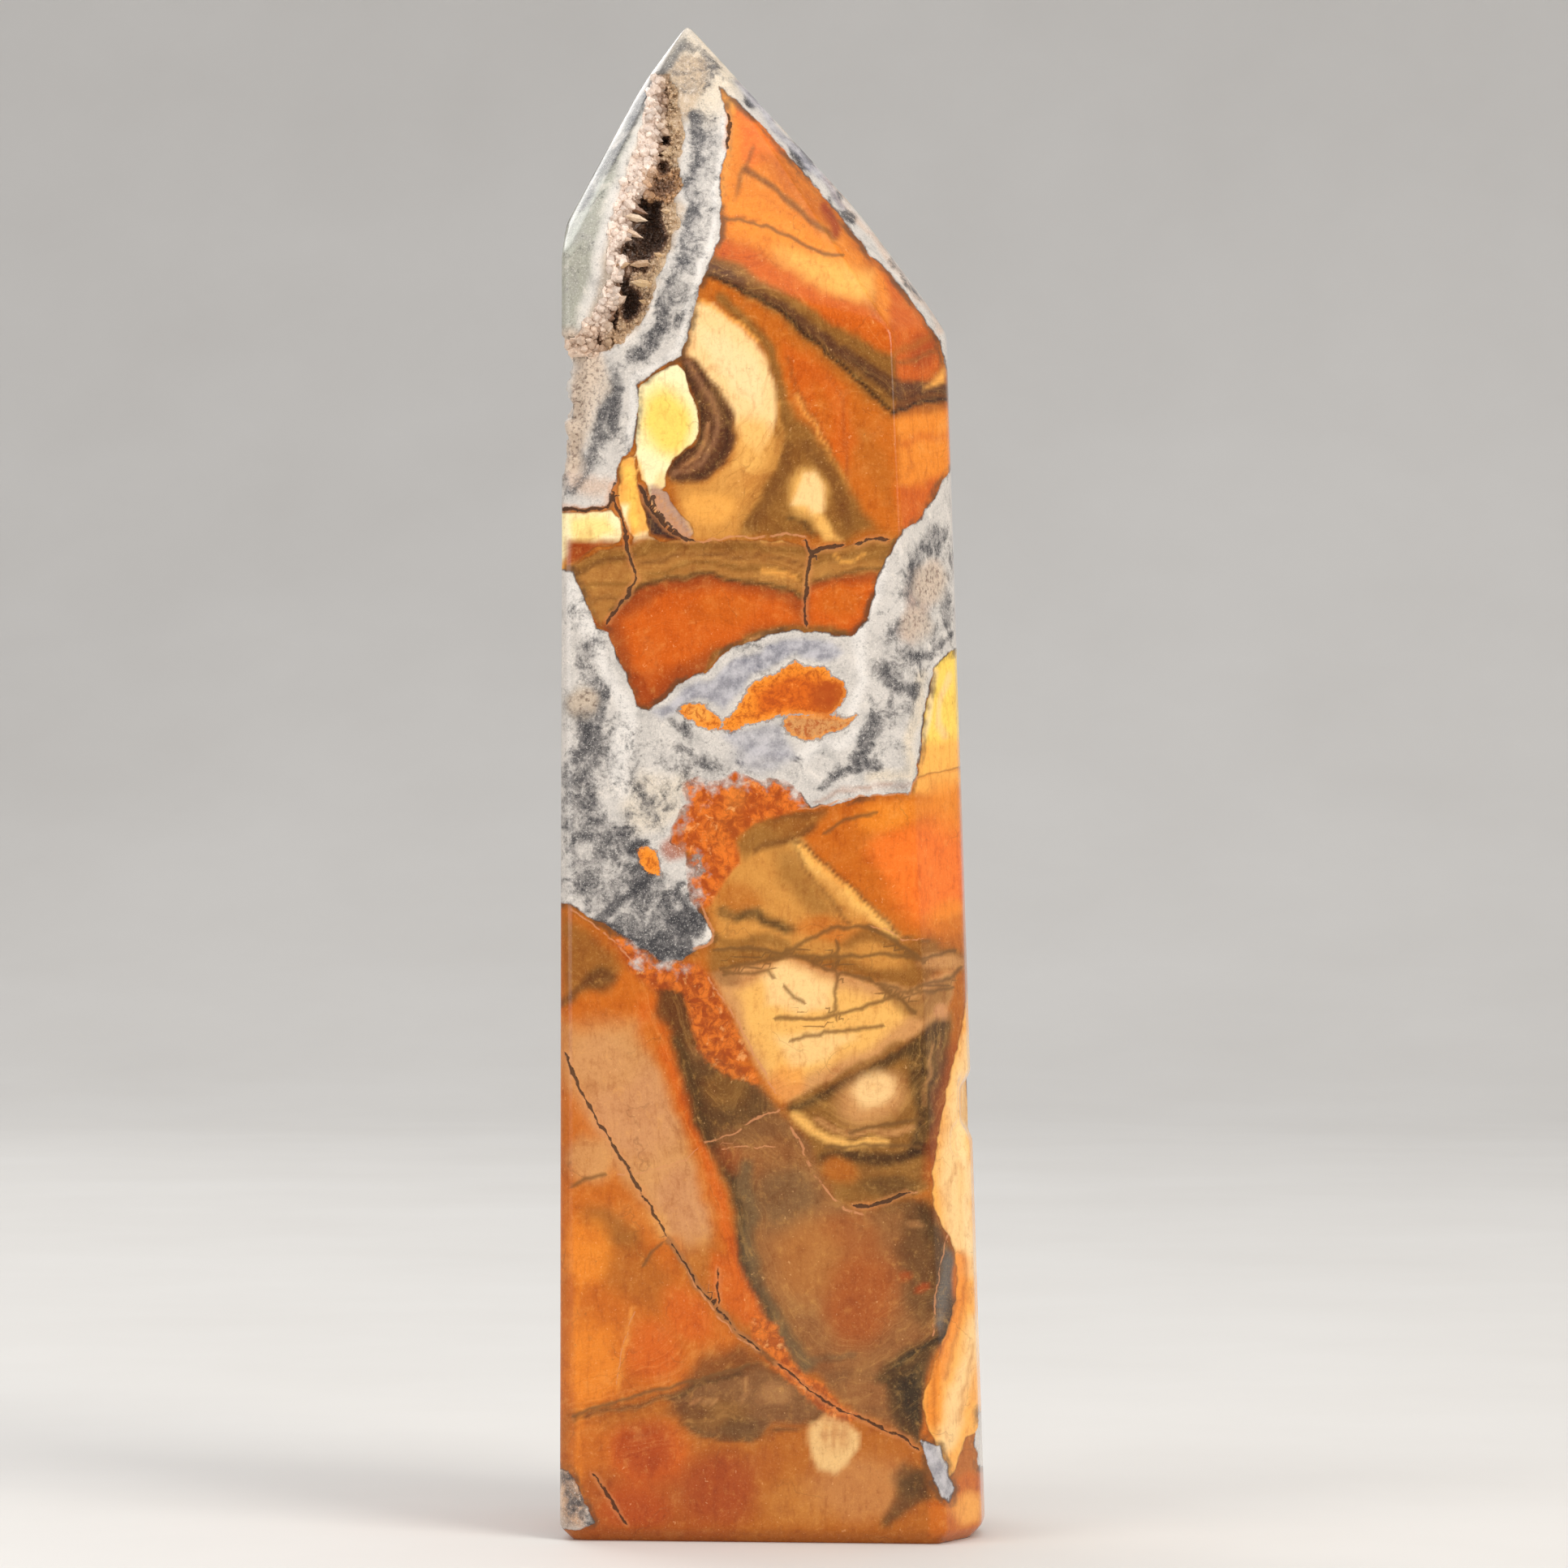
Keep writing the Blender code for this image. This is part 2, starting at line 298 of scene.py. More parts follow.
# Ground: everything that blends softly, in the order in which it is laid
UPPER_GROUND = [
    blob(ORANGE, 1.0, (981, 260), (171, 200)),
    patch(YELLOW_ORANGE, 0.8, 8, [
        (889, 110), (906, 128), (904, 160), (899, 196), (893, 239), (887, 260), (889, 210), (894, 153),
    ]),
    patch(BRIGHT_ORANGE, 0.6, 10, [(892, 130), (930, 150), (1030, 260), (1060, 320), (890, 300)]),
    patch(GLOWING, 0.9, 7, [(910, 133), (940, 156), (968, 184), (948, 202), (926, 204), (912, 190)]),
    patch(ORANGE, 0.8, 8, [(926, 190), (960, 188), (1000, 236), (1026, 262), (1020, 282), (965, 235)]),
    streak(BROWN, 0.8, 3.6, [(922, 207), (938, 222), (953, 234), (986, 258), (1011, 281), (1029, 295)]),
    streak(DARK_RED, 0.95, 6, [(1019, 256), (1026, 272), (1030, 288)]),
    streak(BROWN, 0.6, 3, [(928, 184), (920, 204), (914, 222), (906, 247)]),
    patch(BRIGHT_ORANGE, 0.8, 12, [
        (892, 242), (924, 239), (967, 267), (1017, 296), (1060, 317), (1078, 353), (1053, 353),
        (1003, 331), (946, 306), (896, 281),
    ]),
    patch(YELLOW_ORANGE, 0.9, 14, [
        (953, 306), (1003, 314), (1046, 328), (1078, 335), (1085, 364), (1053, 371), (1010, 356),
        (974, 331),
    ]),
    streak(RUST, 0.45, 1.6, [(906, 267), (936, 274), (969, 289), (996, 306), (1020, 313)]),
    patch(RED_ORANGE, 0.85, 8, [
        (889, 292), (917, 301), (960, 328), (1003, 356), (1049, 374), (1099, 392), (1101, 439),
        (1053, 414), (1003, 389), (953, 356), (910, 331), (881, 321),
    ]),
    patch(RED_ORANGE, 0.95, 8, [
        (1081, 331), (1103, 353), (1131, 389), (1156, 421), (1162, 453), (1139, 474), (1103, 481),
        (1099, 403), (1085, 367),
    ]),
    patch(BRIGHT_ORANGE, 0.8, 6, [(1078, 331), (1089, 342), (1099, 374), (1095, 399), (1083, 378)]),
    blob(DARK_RED, 0.7, (1139, 431), (21, 29), 20),
    streak(AMBER, 0.7, 4, [(1103, 435), (1124, 428), (1149, 414)]),
    streak(OLIVE, 0.6, 3, [(1103, 449), (1128, 443), (1155, 431)]),
    patch(OLIVE, 0.95, 5, [
        (876, 315), (910, 326), (946, 348), (981, 369), (1017, 390), (1053, 414), (1103, 439), (1103, 512),
        (1060, 478), (1035, 453), (1003, 431), (974, 406), (946, 381), (910, 358), (871, 340),
    ]),
    patch(BROWN, 0.9, 4, [(1103, 467), (1135, 471), (1169, 469), (1170, 492), (1139, 499), (1103, 514)]),
    streak(UMBER, 0.95, 8, [
        (874, 330), (917, 353), (956, 374), (992, 401), (1028, 428), (1064, 453), (1103, 481),
    ]),
    streak(UMBER, 0.8, 5, [(1017, 414), (1064, 446), (1103, 474), (1135, 481), (1169, 478)]),
    streak(OLIVE, 0.7, 2.5, [(981, 381), (1017, 403), (1053, 424), (1103, 456)]),
    streak(AMBER, 0.8, 1.8, [(889, 349), (931, 374), (967, 398), (996, 424), (1028, 446)]),
    streak(DARK_BROWN, 0.95, 2.4, [
        (874, 340), (910, 355), (939, 369), (971, 392), (1003, 421), (1035, 448), (1064, 474), (1103, 511),
        (1139, 496), (1170, 490),
    ]),
    streak(DARK_BROWN, 0.6, 1.6, [(1053, 446), (1103, 490), (1135, 487), (1169, 483)]),
    patch(YELLOW_ORANGE, 0.95, 2.5, [(1137, 481), (1153, 467), (1166, 455), (1167, 469), (1151, 476)]),
    patch(ORANGE, 1.0, 8, [
        (874, 380), (917, 387), (946, 401), (981, 426), (1039, 473), (1103, 521), (1171, 503), (1174, 580),
        (1135, 644), (1103, 659), (1053, 637), (981, 559), (964, 487),
    ]),
    patch(RED_ORANGE, 0.8, 10, [
        (964, 419), (1003, 444), (1035, 473), (1049, 509), (1058, 548), (1039, 580), (1014, 548),
        (989, 505), (971, 462),
    ]),
    patch(ORANGE, 0.7, 8, [(1003, 469), (1021, 498), (1031, 530), (1021, 541), (1003, 512)]),
    patch(AMBER, 0.6, 10, [(1053, 516), (1074, 537), (1099, 580), (1103, 630), (1078, 601), (1056, 559)]),
    streak(YELLOW_ORANGE, 0.6, 3, [(983, 487), (1003, 523), (1021, 559), (1046, 601)]),
    streak(RUST, 0.6, 2.0, [(1017, 462), (1037, 494), (1043, 537), (1045, 594), (1049, 616)]),
    streak(BROWN, 0.5, 2.0, [(974, 444), (981, 473), (999, 509), (1017, 541), (1031, 573)]),
    patch(BRIGHT_ORANGE, 0.9, 6, [
        (1106, 519), (1171, 501), (1174, 580), (1156, 594), (1135, 609), (1110, 594),
    ]),
    streak(RED_ORANGE, 0.5, 5, [(1114, 548), (1135, 537), (1171, 534)]),
    patch(RED_ORANGE, 0.9, 8, [
        (1107, 598), (1135, 594), (1160, 584), (1142, 630), (1121, 655), (1109, 651),
    ]),
    patch(GOLDEN, 1.0, 10, [
        (831, 598), (874, 589), (906, 573), (931, 559), (956, 537), (974, 594), (931, 662), (889, 669),
        (853, 666), (846, 637), (835, 612),
    ]),
    patch(CREAM, 1.0, 3, [
        (856, 373), (878, 376), (906, 401), (931, 423), (946, 451), (956, 484), (959, 512), (951, 537),
        (935, 559), (921, 548), (906, 519), (892, 494), (874, 466), (842, 434), (849, 412),
    ]),
    patch(PALE_CREAM, 0.6, 12, [
        (860, 401), (892, 412), (924, 437), (939, 466), (935, 498), (910, 487), (889, 455), (864, 430),
    ]),
    patch(HONEY, 0.8, 12, [
        (910, 516), (942, 519), (953, 537), (939, 573), (910, 601), (889, 594), (906, 559),
    ]),
    blob(YELLOW_ORANGE, 0.6, (874, 626), (36, 21)),
    blob(AMBER, 0.4, (910, 591), (21, 14)),
    streak(OLIVE, 0.95, 7, [
        (889, 369), (910, 387), (935, 409), (949, 437), (959, 469), (965, 501), (964, 534),
    ]),
    patch(OLIVE, 0.95, 8, [
        (964, 480), (981, 505), (1003, 534), (1031, 573), (1056, 616), (1074, 655), (1039, 666),
        (1003, 662), (953, 662), (910, 662), (921, 630), (942, 594), (956, 559), (962, 523),
    ]),
    streak(GOLDEN, 0.6, 3, [(960, 498), (964, 534), (953, 573), (935, 609), (917, 641)]),
    blob(HONEY, 0.9, (996, 609), (27, 34), -10),
    patch(CREAM, 0.9, 4, [
        (990, 584), (1008, 584), (1017, 609), (1017, 630), (1003, 637), (996, 623), (976, 621), (983, 601),
    ]),
    patch(HONEY, 0.9, 3, [(1001, 630), (1017, 635), (1033, 662), (1014, 666), (1003, 651)]),
    streak(BROWN, 0.5, 7, [(992, 551), (1021, 580), (1035, 609), (1046, 644)]),
    streak(BROWN, 0.5, 7, [(971, 551), (964, 584), (946, 616), (928, 648)]),
    streak(DARK_OLIVE, 0.7, 2.5, [(971, 637), (992, 644), (999, 662)]),
    streak(YELLOW_ORANGE, 0.8, 2.2, [(860, 369), (889, 387), (914, 401), (933, 419)]),
]

MIDDLE_GROUND = [
    blob(ORANGE, 1.0, (1071, 1029), (150, 150)),
    patch(GOLDEN, 1.0, 12, [
        (889, 1029), (939, 1021), (981, 1029), (1017, 1079), (1060, 1121), (1074, 1143), (1017, 1161),
        (967, 1179), (889, 1179), (874, 1121),
    ]),
    patch(YELLOW_ORANGE, 0.9, 6, [(1128, 957), (1189, 943), (1190, 968), (1160, 979), (1128, 979)]),
    blob(BRIGHT_ORANGE, 0.8, (1174, 1000), (43, 39)),
    blob(GLOWING, 1.0, (1149, 1075), (61, 71)),
    blob(GLOWING, 0.8, (1103, 1050), (39, 32), 30),
    blob(BRIGHT_ORANGE, 0.7, (1096, 1004), (50, 21), -10),
    blob(BRIGHT_ORANGE, 0.7, (1174, 1132), (32, 25)),
    patch(OLIVE, 0.8, 8, [
        (910, 1007), (967, 1000), (1021, 1004), (1003, 1021), (978, 1036), (946, 1046), (917, 1057),
        (896, 1036),
    ]),
    streak(BROWN, 0.7, 4, [(917, 1005), (953, 1004), (992, 1005), (1017, 1000)]),
    streak(BROWN, 0.7, 4, [(931, 1050), (956, 1039), (981, 1029), (1003, 1018)]),
    patch(OLIVE, 0.6, 12, [
        (953, 1046), (981, 1050), (1003, 1086), (1031, 1121), (1010, 1136), (981, 1107), (960, 1079),
    ]),
    blob(AMBER, 0.8, (910, 1107), (32, 18), 20),
    blob(ORANGE, 0.6, (1017, 1143), (43, 18)),
    streak(HONEY, 0.95, 7, [(980, 1039), (1003, 1066), (1039, 1100), (1074, 1130), (1103, 1152)]),
    streak(YELLOW_ORANGE, 0.7, 3, [(983, 1041), (1006, 1064), (1046, 1100), (1081, 1129)]),
    streak(BROWN, 0.9, 2.0, [
        (974, 1032), (992, 1043), (1017, 1064), (1049, 1096), (1085, 1130), (1110, 1150), (1142, 1161),
    ]),
    streak(BROWN, 0.6, 2.0, [(974, 1036), (992, 1071), (1021, 1107), (1049, 1136)]),
    streak(DARK_OLIVE, 0.7, 7, [(889, 1123), (910, 1127), (935, 1130), (953, 1139), (974, 1145)]),
    streak(DARK_OLIVE, 0.8, 4, [(910, 1132), (931, 1123), (942, 1136), (967, 1145)]),
    streak(OLIVE, 0.8, 6, [(881, 1157), (910, 1161), (946, 1157), (967, 1164)]),
    patch(OLIVE, 0.85, 8, [
        (878, 1168), (924, 1164), (974, 1171), (1028, 1161), (1074, 1143), (1110, 1157), (1153, 1161),
        (1189, 1150), (1189, 1193), (1153, 1200), (1124, 1229), (1089, 1218), (1035, 1196), (974, 1179),
        (931, 1189), (889, 1196), (874, 1204),
    ]),
    blob(GOLDEN, 0.9, (1081, 1179), (39, 16), 10),
    blob(TAN, 0.8, (1160, 1186), (32, 11)),
    blob(GOLDEN, 0.8, (1021, 1171), (29, 11)),
    patch(ORANGE, 0.7, 8, [(1153, 1136), (1192, 1121), (1192, 1171), (1160, 1168)]),
    patch(TAN, 1.0, 3, [
        (871, 1204), (896, 1193), (939, 1188), (974, 1179), (1017, 1195), (1071, 1211), (1121, 1216),
        (1176, 1196), (1174, 1229), (1158, 1261), (1124, 1280), (1071, 1312), (1017, 1338), (971, 1359),
        (953, 1346), (931, 1314), (910, 1268), (889, 1232),
    ]),
    patch(HONEY, 0.9, 10, [
        (910, 1221), (964, 1189), (1003, 1200), (1039, 1221), (1089, 1229), (1124, 1243), (1089, 1279),
        (1035, 1307), (981, 1332), (946, 1321), (924, 1279),
    ]),
    patch(CREAM, 0.8, 8, [
        (964, 1186), (999, 1196), (1028, 1214), (1024, 1243), (981, 1246), (946, 1239), (939, 1204),
    ]),
    patch(CREAM, 0.6, 8, [(956, 1279), (1003, 1271), (1053, 1275), (1017, 1307), (974, 1318)]),
    blob(BRIGHT_ORANGE, 0.4, (967, 1336), (29, 25), -30),
    blob(GREY_BROWN, 0.6, (896, 1204), (21, 11), 0),
    patch(OLIVE, 0.7, 6, [
        (1081, 1214), (1124, 1229), (1174, 1204), (1171, 1232), (1139, 1261), (1106, 1243),
    ]),
    blob(PINK_TAN, 0.9, (1162, 1248), (10, 13), -30),
    patch(ORANGE, 1.0, 8, [
        (689, 1121), (731, 1139), (767, 1171), (810, 1189), (864, 1186), (889, 1229), (910, 1275),
        (931, 1314), (953, 1360), (689, 1360),
    ]),
    patch(OLIVE, 0.8, 12, [(692, 1129), (724, 1143), (756, 1171), (767, 1193), (731, 1221), (696, 1232)]),
    blob(DARK_OLIVE, 0.7, (740, 1209), (21, 18), -30),
    streak(BROWN, 0.8, 5, [(696, 1234), (721, 1214), (746, 1200)]),
    patch(RUST, 0.95, 6, [
        (753, 1157), (778, 1161), (803, 1186), (860, 1189), (881, 1218), (903, 1261), (921, 1304),
        (889, 1300), (860, 1275), (831, 1275), (810, 1229), (778, 1196),
    ]),
    blob(ORANGE, 0.8, (778, 1250), (36, 46), -20),
    blob(RED_ORANGE, 0.7, (803, 1261), (21, 39), -20),
    patch(DARK_OLIVE, 0.85, 7, [
        (810, 1214), (828, 1211), (846, 1225), (849, 1250), (860, 1275), (881, 1307), (917, 1329),
        (939, 1360), (853, 1360), (839, 1311), (831, 1275), (814, 1250),
    ]),
    blob(BROWN, 0.7, (824, 1246), (18, 21)),
]

LOWER_GROUND = [
    patch(TAN, 1.0, 24, [
        (692, 1264), (778, 1261), (810, 1293), (831, 1343), (856, 1414), (881, 1486), (874, 1521),
        (846, 1539), (814, 1518), (749, 1429), (706, 1371), (692, 1307),
    ]),
    blob(PINK_TAN, 0.9, (778, 1371), (68, 71), 50),
    blob(TAN, 0.9, (749, 1314), (39, 32)),
    blob(PINK_TAN, 0.4, (739, 1307), (40, 34)),
    blob(PINK_TAN, 0.9, (839, 1479), (39, 54), -20),
    blob(HONEY, 0.5, (803, 1514), (32, 18), 40),
    patch(ORANGE, 0.8, 10, [
        (689, 1336), (714, 1357), (767, 1450), (831, 1543), (810, 1543), (731, 1464), (692, 1450),
    ]),
    blob(TAN, 0.9, (728, 1429), (32, 32)),
    streak(ORANGE, 0.9, 11, [
        (799, 1271), (824, 1318), (846, 1371), (864, 1429), (883, 1486), (892, 1529), (910, 1579),
        (931, 1614),
    ]),
    streak(RED_ORANGE, 0.85, 7, [
        (817, 1293), (839, 1343), (860, 1400), (881, 1457), (898, 1521), (917, 1575), (942, 1618),
        (956, 1632),
    ]),
    patch(RED_ORANGE, 0.8, 8, [
        (874, 1543), (903, 1550), (921, 1586), (946, 1621), (956, 1636), (924, 1632), (889, 1604),
        (874, 1579),
    ]),
    patch(GREY_BROWN, 1.0, 8, [
        (839, 1286), (889, 1304), (939, 1339), (967, 1368), (1003, 1414), (1017, 1464), (1060, 1496),
        (1124, 1479), (1153, 1507), (1174, 1543), (1174, 1643), (1135, 1675), (1089, 1707), (1039, 1707),
        (981, 1679), (953, 1636), (931, 1579), (910, 1507), (896, 1457), (867, 1400),
    ]),
    patch(DARK_OLIVE, 0.7, 10, [
        (846, 1304), (889, 1311), (931, 1339), (956, 1364), (910, 1389), (871, 1407), (853, 1364),
    ]),
    blob(OLIVE, 0.5, (892, 1343), (32, 25), 20),
    streak(DARK_OLIVE, 0.9, 8, [
        (835, 1282), (849, 1336), (871, 1400), (906, 1457), (915, 1507), (924, 1557), (946, 1604),
        (967, 1650),
    ]),
    streak(OLIVE, 0.8, 5, [(910, 1464), (928, 1521), (942, 1571), (967, 1621), (992, 1661)]),
    blob(TAN, 0.55, (1003, 1550), (61, 71), -10),
    blob(RUST, 0.7, (1064, 1589), (46, 57), 20),
    blob(RED_ORANGE, 0.35, (1060, 1607), (29, 29)),
    blob(RUST, 0.5, (910, 1432), (39, 18), 30),
    blob(DARK_BROWN, 0.6, (1121, 1504), (46, 29), 20),
    patch(DARK_OLIVE, 0.8, 10, [
        (1089, 1486), (1142, 1479), (1171, 1532), (1174, 1629), (1142, 1621), (1124, 1564), (1103, 1521),
    ]),
    blob(RUST, 0.5, (1135, 1586), (18, 11)),
    streak(DARK_BROWN, 0.6, 4, [(1131, 1554), (1149, 1557), (1167, 1554)]),
    patch(OLIVE, 1.0, 5, [
        (971, 1364), (1017, 1350), (1071, 1321), (1117, 1296), (1160, 1268), (1174, 1243), (1167, 1343),
        (1156, 1400), (1142, 1464), (1106, 1479), (1056, 1486), (1031, 1479), (1010, 1443), (992, 1400),
    ]),
    streak(DARK_OLIVE, 0.95, 8, [(981, 1362), (1017, 1348), (1071, 1320), (1117, 1294), (1160, 1262)]),
    streak(OLIVE, 0.8, 4, [(981, 1357), (1021, 1336), (1071, 1307), (1110, 1286)]),
    streak(HONEY, 0.9, 5, [(983, 1375), (999, 1393), (1024, 1404), (1049, 1409), (1089, 1407)]),
    streak(TAN, 0.7, 3, [(1003, 1379), (1039, 1395), (1089, 1396), (1135, 1389)]),
    blob(TAN, 0.9, (1074, 1354), (46, 34), -20),
    blob(CREAM, 0.8, (1076, 1343), (27, 23), -30),
    patch(DARK_OLIVE, 0.85, 7, [
        (1114, 1293), (1167, 1261), (1165, 1350), (1149, 1429), (1121, 1421), (1128, 1371), (1121, 1329),
    ]),
    streak(TAN, 0.5, 2, [(1148, 1286), (1146, 1321), (1142, 1361)]),
    streak(GREY_BROWN, 0.7, 2.5, [(1158, 1279), (1156, 1318), (1151, 1357)]),
    streak(DARK_BROWN, 0.8, 2.2, [(1135, 1293), (1139, 1336), (1135, 1379), (1126, 1411)]),
    streak(DARK_BROWN, 0.8, 7, [(1017, 1429), (1046, 1421), (1081, 1429), (1121, 1425), (1142, 1414)]),
    streak(OLIVE, 0.7, 4, [(1046, 1450), (1089, 1443), (1135, 1439)]),
    blob(AMBER, 0.9, (1035, 1443), (25, 18), 20),
    blob(DARK_OLIVE, 0.6, (1096, 1461), (39, 14)),
    patch(ORANGE, 1.0, 10, [
        (689, 1450), (731, 1464), (810, 1529), (860, 1589), (910, 1646), (931, 1675), (860, 1700),
        (767, 1725), (689, 1750),
    ]),
    blob(AMBER, 0.9, (778, 1564), (71, 39), 40),
    blob(OLIVE, 0.6, (753, 1511), (46, 21), 30),
    blob(RED_ORANGE, 0.8, (846, 1621), (43, 25), 50),
    blob(RED_ORANGE, 0.85, (803, 1664), (39, 39), 0),
    blob(BRIGHT_ORANGE, 0.7, (724, 1543), (32, 46)),
    blob(ORANGE, 0.8, (824, 1543), (21, 21), 40),
    blob(BRIGHT_ORANGE, 0.6, (731, 1682), (36, 61)),
    streak(YELLOW_ORANGE, 0.4, 2, [(781, 1611), (767, 1657), (764, 1700), (767, 1729)]),
    patch(BROWN, 0.8, 10, [
        (860, 1675), (910, 1654), (939, 1675), (967, 1693), (939, 1707), (874, 1721), (831, 1725),
    ]),
]

FOOT_GROUND = [
    patch(AMBER, 1.0, 10, [
        (693, 1737), (801, 1729), (834, 1718), (838, 1759), (882, 1781), (934, 1777), (993, 1766),
        (1015, 1744), (1067, 1766), (1130, 1789), (1152, 1844), (1145, 1907), (693, 1907),
    ]),
    patch(GREY_BROWN, 1.0, 8, [
        (823, 1718), (882, 1700), (934, 1685), (978, 1696), (1008, 1718), (1026, 1737), (993, 1755),
        (941, 1770), (889, 1774), (852, 1766),
    ]),
    blob(OLIVE, 0.6, (882, 1744), (48, 22), -10),
    blob(DARK_OLIVE, 0.5, (912, 1759), (33, 15), -10),
    blob(BROWN, 0.7, (852, 1737), (33, 15), -10),
    blob(TAN, 0.35, (956, 1718), (26, 15)),
    blob(RED_ORANGE, 0.95, (797, 1792), (59, 44)),
    blob(RED_ORANGE, 0.8, (782, 1855), (44, 30)),
    blob(ORANGE, 0.8, (723, 1781), (33, 41)),
    blob(RUST, 0.8, (889, 1833), (59, 48)),
    blob(GOLDEN, 0.7, (993, 1851), (59, 33)),
    blob(TAN, 0.9, (1059, 1833), (67, 44)),
    blob(RUST, 0.5, (941, 1803), (26, 22)),
    patch(GREY_BROWN, 0.9, 8, [
        (1004, 1674), (1059, 1674), (1100, 1678), (1141, 1655), (1170, 1641), (1141, 1707), (1137, 1781),
        (1096, 1759), (1052, 1737), (1015, 1707),
    ]),
    patch(DARK_OLIVE, 0.95, 6, [
        (1089, 1696), (1122, 1678), (1152, 1659), (1137, 1707), (1137, 1759), (1141, 1781), (1111, 1766),
        (1093, 1737),
    ]),
    streak(DARK_OLIVE, 0.9, 6, [(1170, 1641), (1141, 1659), (1111, 1674), (1085, 1700)]),
    streak(SLATE, 0.6, 5, [(1172, 1574), (1159, 1600), (1156, 1629)]),
    patch(SLATE, 0.75, 5, [
        (1163, 1537), (1176, 1544), (1178, 1596), (1170, 1641), (1152, 1648), (1152, 1596),
    ]),
    patch(DARK_OLIVE, 0.8, 6, [
        (1104, 1829), (1141, 1807), (1150, 1844), (1115, 1863), (1096, 1885), (1085, 1881), (1100, 1851),
    ]),
    streak(BROWN, 0.85, 3, [
        (708, 1747), (756, 1737), (801, 1729), (826, 1716), (867, 1703), (904, 1692), (934, 1681),
    ]),
    streak(DARK_OLIVE, 0.7, 2.5, [(823, 1722), (867, 1707), (912, 1692)]),
    streak(DARK_OLIVE, 0.6, 2.5, [(838, 1755), (889, 1774), (941, 1768), (986, 1759), (1015, 1740)]),
    streak(GREY_BROWN, 0.8, 3, [(978, 1685), (1015, 1678), (1052, 1674)]),
    streak(AMBER, 0.6, 4, [(934, 1774), (956, 1759), (993, 1755)]),
    patch(ORANGE, 1.0, 4, [
        (1145, 1855), (1174, 1833), (1193, 1811), (1215, 1826), (1215, 1892), (1145, 1896),
    ]),
    blob(YELLOW_ORANGE, 0.7, (1193, 1859), (22, 22)),
    patch(ORANGE, 1.0, 5, [
        (1176, 1544), (1193, 1552), (1204, 1611), (1196, 1655), (1170, 1707), (1163, 1774), (1137, 1774),
        (1135, 1729), (1145, 1692), (1167, 1648), (1174, 1604),
    ]),
    streak(BRIGHT_ORANGE, 0.8, 5, [(1178, 1626), (1167, 1663), (1148, 1707), (1145, 1744)]),
    streak(DARK_BROWN, 0.5, 2.5, [(1163, 1737), (1159, 1759), (1137, 1776)]),
]

